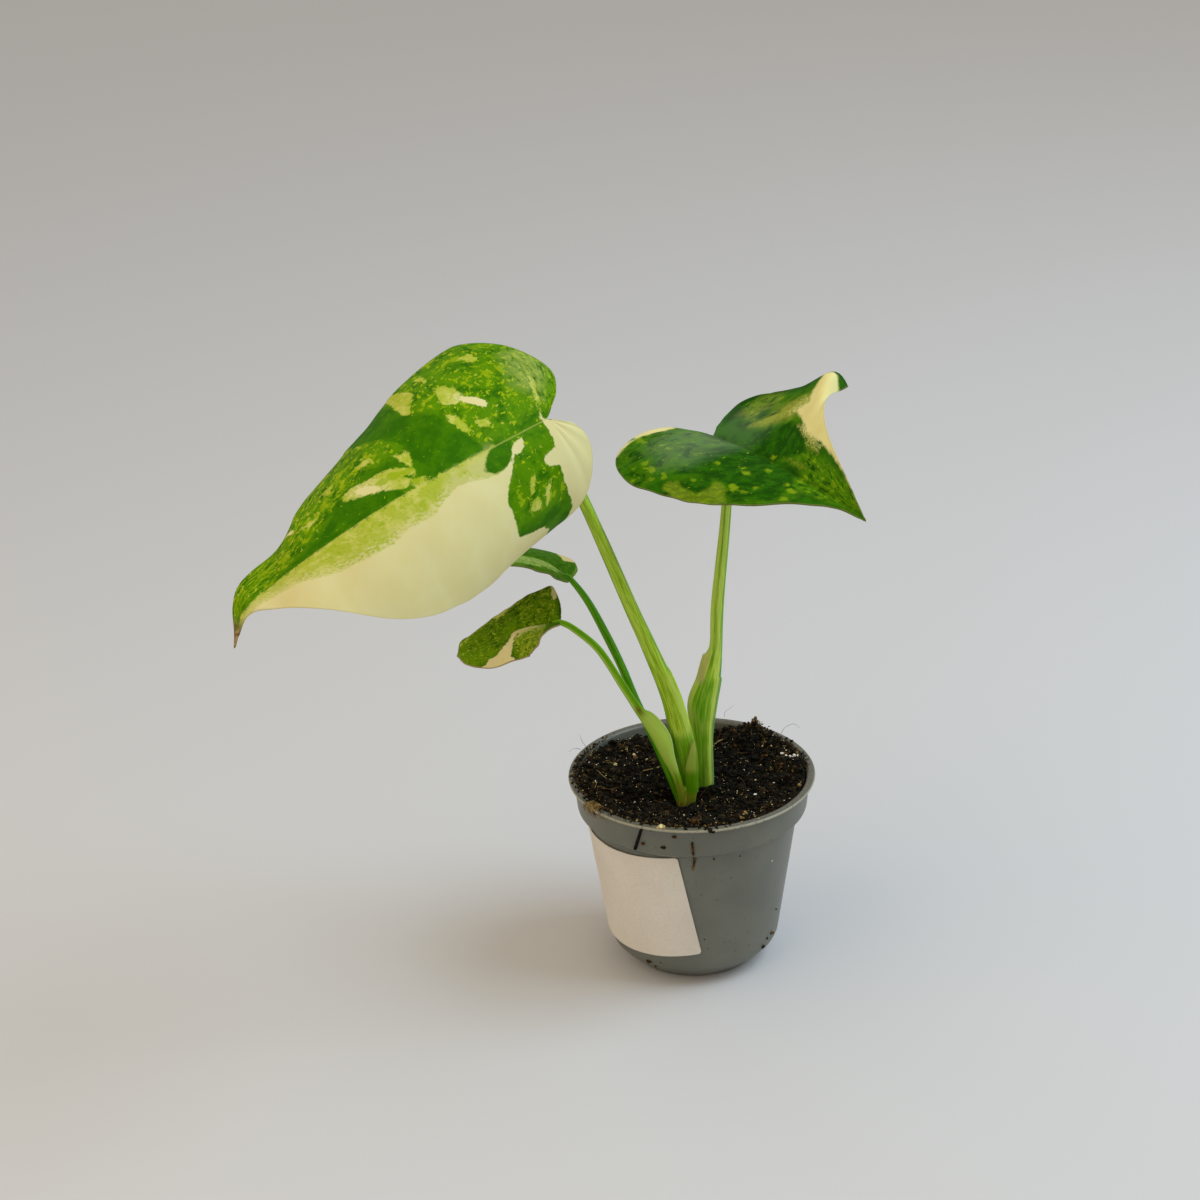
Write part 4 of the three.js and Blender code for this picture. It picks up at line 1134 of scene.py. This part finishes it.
# The wall is part of a cone. The label's flat sheet is rolled round it, measured from the cone's tip.
def makeLabel():
    piece, columnShare, rowShare = addGrid("label_fine", 150, 56)
    spread, rise = shoulder[0] - heel[0], shoulder[1] - heel[1]
    taper = math.atan2(spread, rise)
    middle = (heel[0] + (label["middle"] - heel[1]) * spread / rise) / math.sin(taper)
    half = label["width"] / 2
    x = np.sin((columnShare - 0.5) * np.pi * 0.98) / math.sin(math.pi * 0.49) * half
    # Each column is trimmed at its ends for the rounded corners
    past = np.maximum(0, label["corner"] - (half - np.abs(x)))
    trim = label["corner"] - np.sqrt(np.maximum(0, label["corner"] ** 2 - past**2))
    y = (rowShare - 0.5) * (label["height"] - 2 * trim)
    angle = math.radians(label["angle"]) + np.arctan2(x, middle + y) / math.sin(taper)
    radius = np.hypot(x, middle + y) * math.sin(taper)
    height = heel[1] + (radius - heel[0]) / math.tan(taper)
    # A few shallow waves, as pasted paper has
    ripple = 0.05 * np.sin(0.5 * x + 1) * np.cos(0.33 * y) + 0.04 * np.sin(0.21 * x - 0.4 * y)
    off = label["gap"] + label["thickness"] / 2 + ripple
    outwards = turned(math.cos(taper), angle, -math.sin(taper))
    movePoints(piece, turned(radius, angle, height) + outwards * off[:, None])
    applyModifier(piece, "SOLIDIFY", thickness=label["thickness"] * mm, offset=0)
    return piece


def labelMaterial():
    skin = Skin("label paper", 0.62)
    place = skin.place()
    clouds, weave = place.grain(30, 3), place.stretched(1, 1, 1.6).grain(900, 3, 0.6)
    skin.tone = skin.mix(clouds.above(0.3, 0.7), colour(222, 214, 202), colour(214, 204, 190))
    skin.paint(weave.above(0.4, 0.8), colour(184, 172, 156), 0.3)
    skin.bump(weave, 0.15, 0.1)
    return skin.finish()


finishPiece(makePot(), [potMaterial()], "pot", 32)
finishPiece(makeLabel(), [labelMaterial()], "label", 40)
print("pot and label ready")

# Loose potting mix on the lip and the wall, as seen in the photo. A mark is (turn in degrees, height,
# size, tone), the stick and the smear are paths of (turn, height), and a heap is only a turn.
litter = {
    "marks": [(-116.4, 64.1, 0.9, 0.48), (-106.3, 63.7, 1.1, 0.44), (-100.8, 68.6, 0.9, 0.36),
              (-110.5, 63.2, 0.4, 0.5), (-112, 70.2, 0.4, 0.3), (-78.5, 70.6, 0.6, 0.2),
              (-73.6, 70.7, 0.55, 0.3), (-91.9, 68.3, 0.4, 0.55), (-92.5, 64.6, 0.55, 0.56),
              (-92.2, 62, 0.5, 0.5), (-91, 58.1, 0.9, 0.46), (-92.1, 54.1, 0.75, 0.56),
              (-91.6, 56, 0.4, 0.5), (-80.8, 56.9, 0.5, 0.3), (-66.1, 56.2, 0.3, 0.3),
              (-42.2, 48.2, 0.35, 0.85), (-27, 22.5, 0.5, 0.3), (-28.5, 12.6, 0.9, 0.4),
              (-34.6, 12, 0.6, 0.35), (-38.9, 9.5, 1, 0.42), (-85.6, 21.2, 0.3, 0.3),
              (-83.5, 16.9, 0.3, 0.3), (-124.9, 8.1, 1.1, 0.42), (-115.5, 9.1, 0.4, 0.3),
              (-122, 5.5, 0.8, 0.42), (-107, 72.6, 1.5, 0.8), (-105.4, 72.5, 1.2, 0.7),
              (-95.1, 72.4, 0.9, 0.2), (-86, 72.3, 1.3, 0.15), (-84.2, 72, 1.2, 0.2),
              (-82.6, 71.4, 0.9, 0.3), (-81, 72.3, 1, 0.15), (-76.5, 72.2, 0.8, 0.2),
              (-172, 72.3, 1.1, 0.2), (-179, 72.4, 1.2, 0.3), (29, 72.9, 0.8, 0.15), (33, 72.9, 0.6, 0.2),
              (166, 72.8, 0.8, 0.2)],
    "stick": [(-121, 61), (-118.6, 66), (-116.6, 70.4), (-115.4, 73)],
    "smear": [(-92.3, 66.4), (-92, 62), (-91.2, 58.8), (-91.6, 55), (-92.2, 52.6)],
    "heaps": [-172, -158, -140, -128, -86, -108, 12, 30, 48, 150, 165, 178],
    "crumbs": 900, "tuft": {"turn": -143.5, "threads": 26},
    "hairs": [[(-38.4, 23.2, 72.3), (-39.6, 23.6, 74), (-40.6, 23.6, 77.3)],
              [(-40.2, 20.3, 72.5), (-42.5, 19.5, 73.4), (-44.8, 17.6, 73)],
              [(34.6, 27.6, 72.8), (36, 28, 75), (39.3, 28.6, 76.2), (41.6, 27.3, 75)],
              [(14.2, 43.3, 72.6), (14.6, 43.7, 74.5), (18, 45.4, 76.4)]],
}


# A place on the pot's outside, or off it by some millimetres. The wall is carried on above the lip.
def wallPlace(turn, height, off=0.0):
    outside = np.array([*pot["profile"][7:16], (43.4, 72.5), (43.2, 75)])
    radius = np.interp(height, outside[:, 1], outside[:, 0]) + off
    return turned(radius, math.radians(turn), height)


def makeLitter():
    chance = np.random.default_rng(4)
    places = [wallPlace(turn, height, 0.05) for turn, height, size, tone in litter["marks"]]
    sizes = [mark[2] * 0.9 for mark in litter["marks"]]
    tones = [mark[3] for mark in litter["marks"]]
    marks = makeLumps("litter", places, sizes, tones, chance, 2)
    # Small crumbs lie on the lip in loose heaps
    count = litter["crumbs"]
    turns = np.radians(chance.choice(litter["heaps"], count) + chance.normal(0, 8, count))
    places = turned(41.3 + 2.9 * chance.beta(1, 2.2, count), turns, 72.6)
    sizes = chance.uniform(0.12, 0.55, count)
    tones = chance.beta(1.3, 3, count) * 0.8
    crumbs = makeLumps("lip_crumbs", places, sizes, tones, chance)
    threads = [([wallPlace(turn, height, 0.4) for turn, height in litter["stick"]], 0.62, 0.1),
               ([wallPlace(turn, height, 0.15) for turn, height in litter["smear"]], 0.6, 0.48)]
    # A tuft of fine roots hangs over the lip
    for number in range(litter["tuft"]["threads"]):
        turn = litter["tuft"]["turn"] + chance.normal(0, 2.6)
        end = turn + chance.normal(0, 3.5)
        path = [wallPlace(turn, 73, -1.8), wallPlace(turn, 73.2, 0.4), wallPlace(end, 71.4, 0.4),
                wallPlace(end, chance.uniform(66.8, 70), chance.uniform(0.3, 1.4))]
        threads.append((path, chance.uniform(0.08, 0.17), chance.uniform(0.46, 0.64)))
    threads += [(path, 0.07, 0.36) for path in litter["hairs"]]
    return marks, crumbs, makeThreads("litter_fibres", threads)


for piece in makeLitter():
    finishPiece(piece, [earth], "soil")
print("litter ready")

# Camera, floor and light. The camera stands where the photo was taken: in front, a little above.
# A lamp is (place in metres, power in watts, tint).
view = {"place": (-0.0314, -0.9065, 0.5433), "down": 23.89, "roll": -1.78, "lens": 84}
studio = {
    "floor": (199, 198, 199), "roomTint": (0.605, 0.57, 0.51), "lampSize": 0.9, "aim": (0, 0, 0.1),
    "lamps": {
        "window_light": ((0.86, -0.05, 1.12), 13.6, (0.66, 0.84, 1)),
        "wall_bounce": ((-0.6, -0.35, 0.65), 2.5, (1, 0.74, 0.4)),
    },
}


def makeCamera():
    bpy.ops.object.camera_add(location=view["place"])
    camera = bpy.context.object
    camera.name = "camera"
    camera.rotation_mode = "ZYX"
    camera.rotation_euler = (math.radians(90 - view["down"]), 0, math.radians(view["roll"]))
    camera.data.sensor_width = 36
    camera.data.lens = view["lens"]
    camera.data.dof.use_dof = False
    bpy.context.scene.camera = camera


def addLamp(name, place, power, tint):
    bpy.ops.object.light_add(type="AREA", location=place)
    lamp = bpy.context.object
    lamp.name = name
    lamp.data.energy = power
    lamp.data.size = studio["lampSize"]
    lamp.data.color = tint
    lamp.rotation_euler = (Vector(place) - Vector(studio["aim"])).to_track_quat("Z", "Y").to_euler()


def makeStudio():
    deselect()
    bpy.ops.mesh.primitive_plane_add(size=8, location=(0, 0, -0.5 * mm))
    floor = bpy.context.object
    floor.name = "floor"
    skin = Skin("floor", 0.9)
    skin.tone = colour(*studio["floor"])
    floor.data.materials.append(skin.finish())
    for name, (place, power, tint) in studio["lamps"].items():
        addLamp(name, place, power, tint)
    world = bpy.data.worlds.new("room")
    world.use_nodes = True
    background = world.node_tree.nodes["Background"]
    background.inputs["Color"].default_value = (*studio["roomTint"], 1)
    bpy.context.scene.world = world


makeCamera()
makeStudio()
print("camera, floor and light ready")
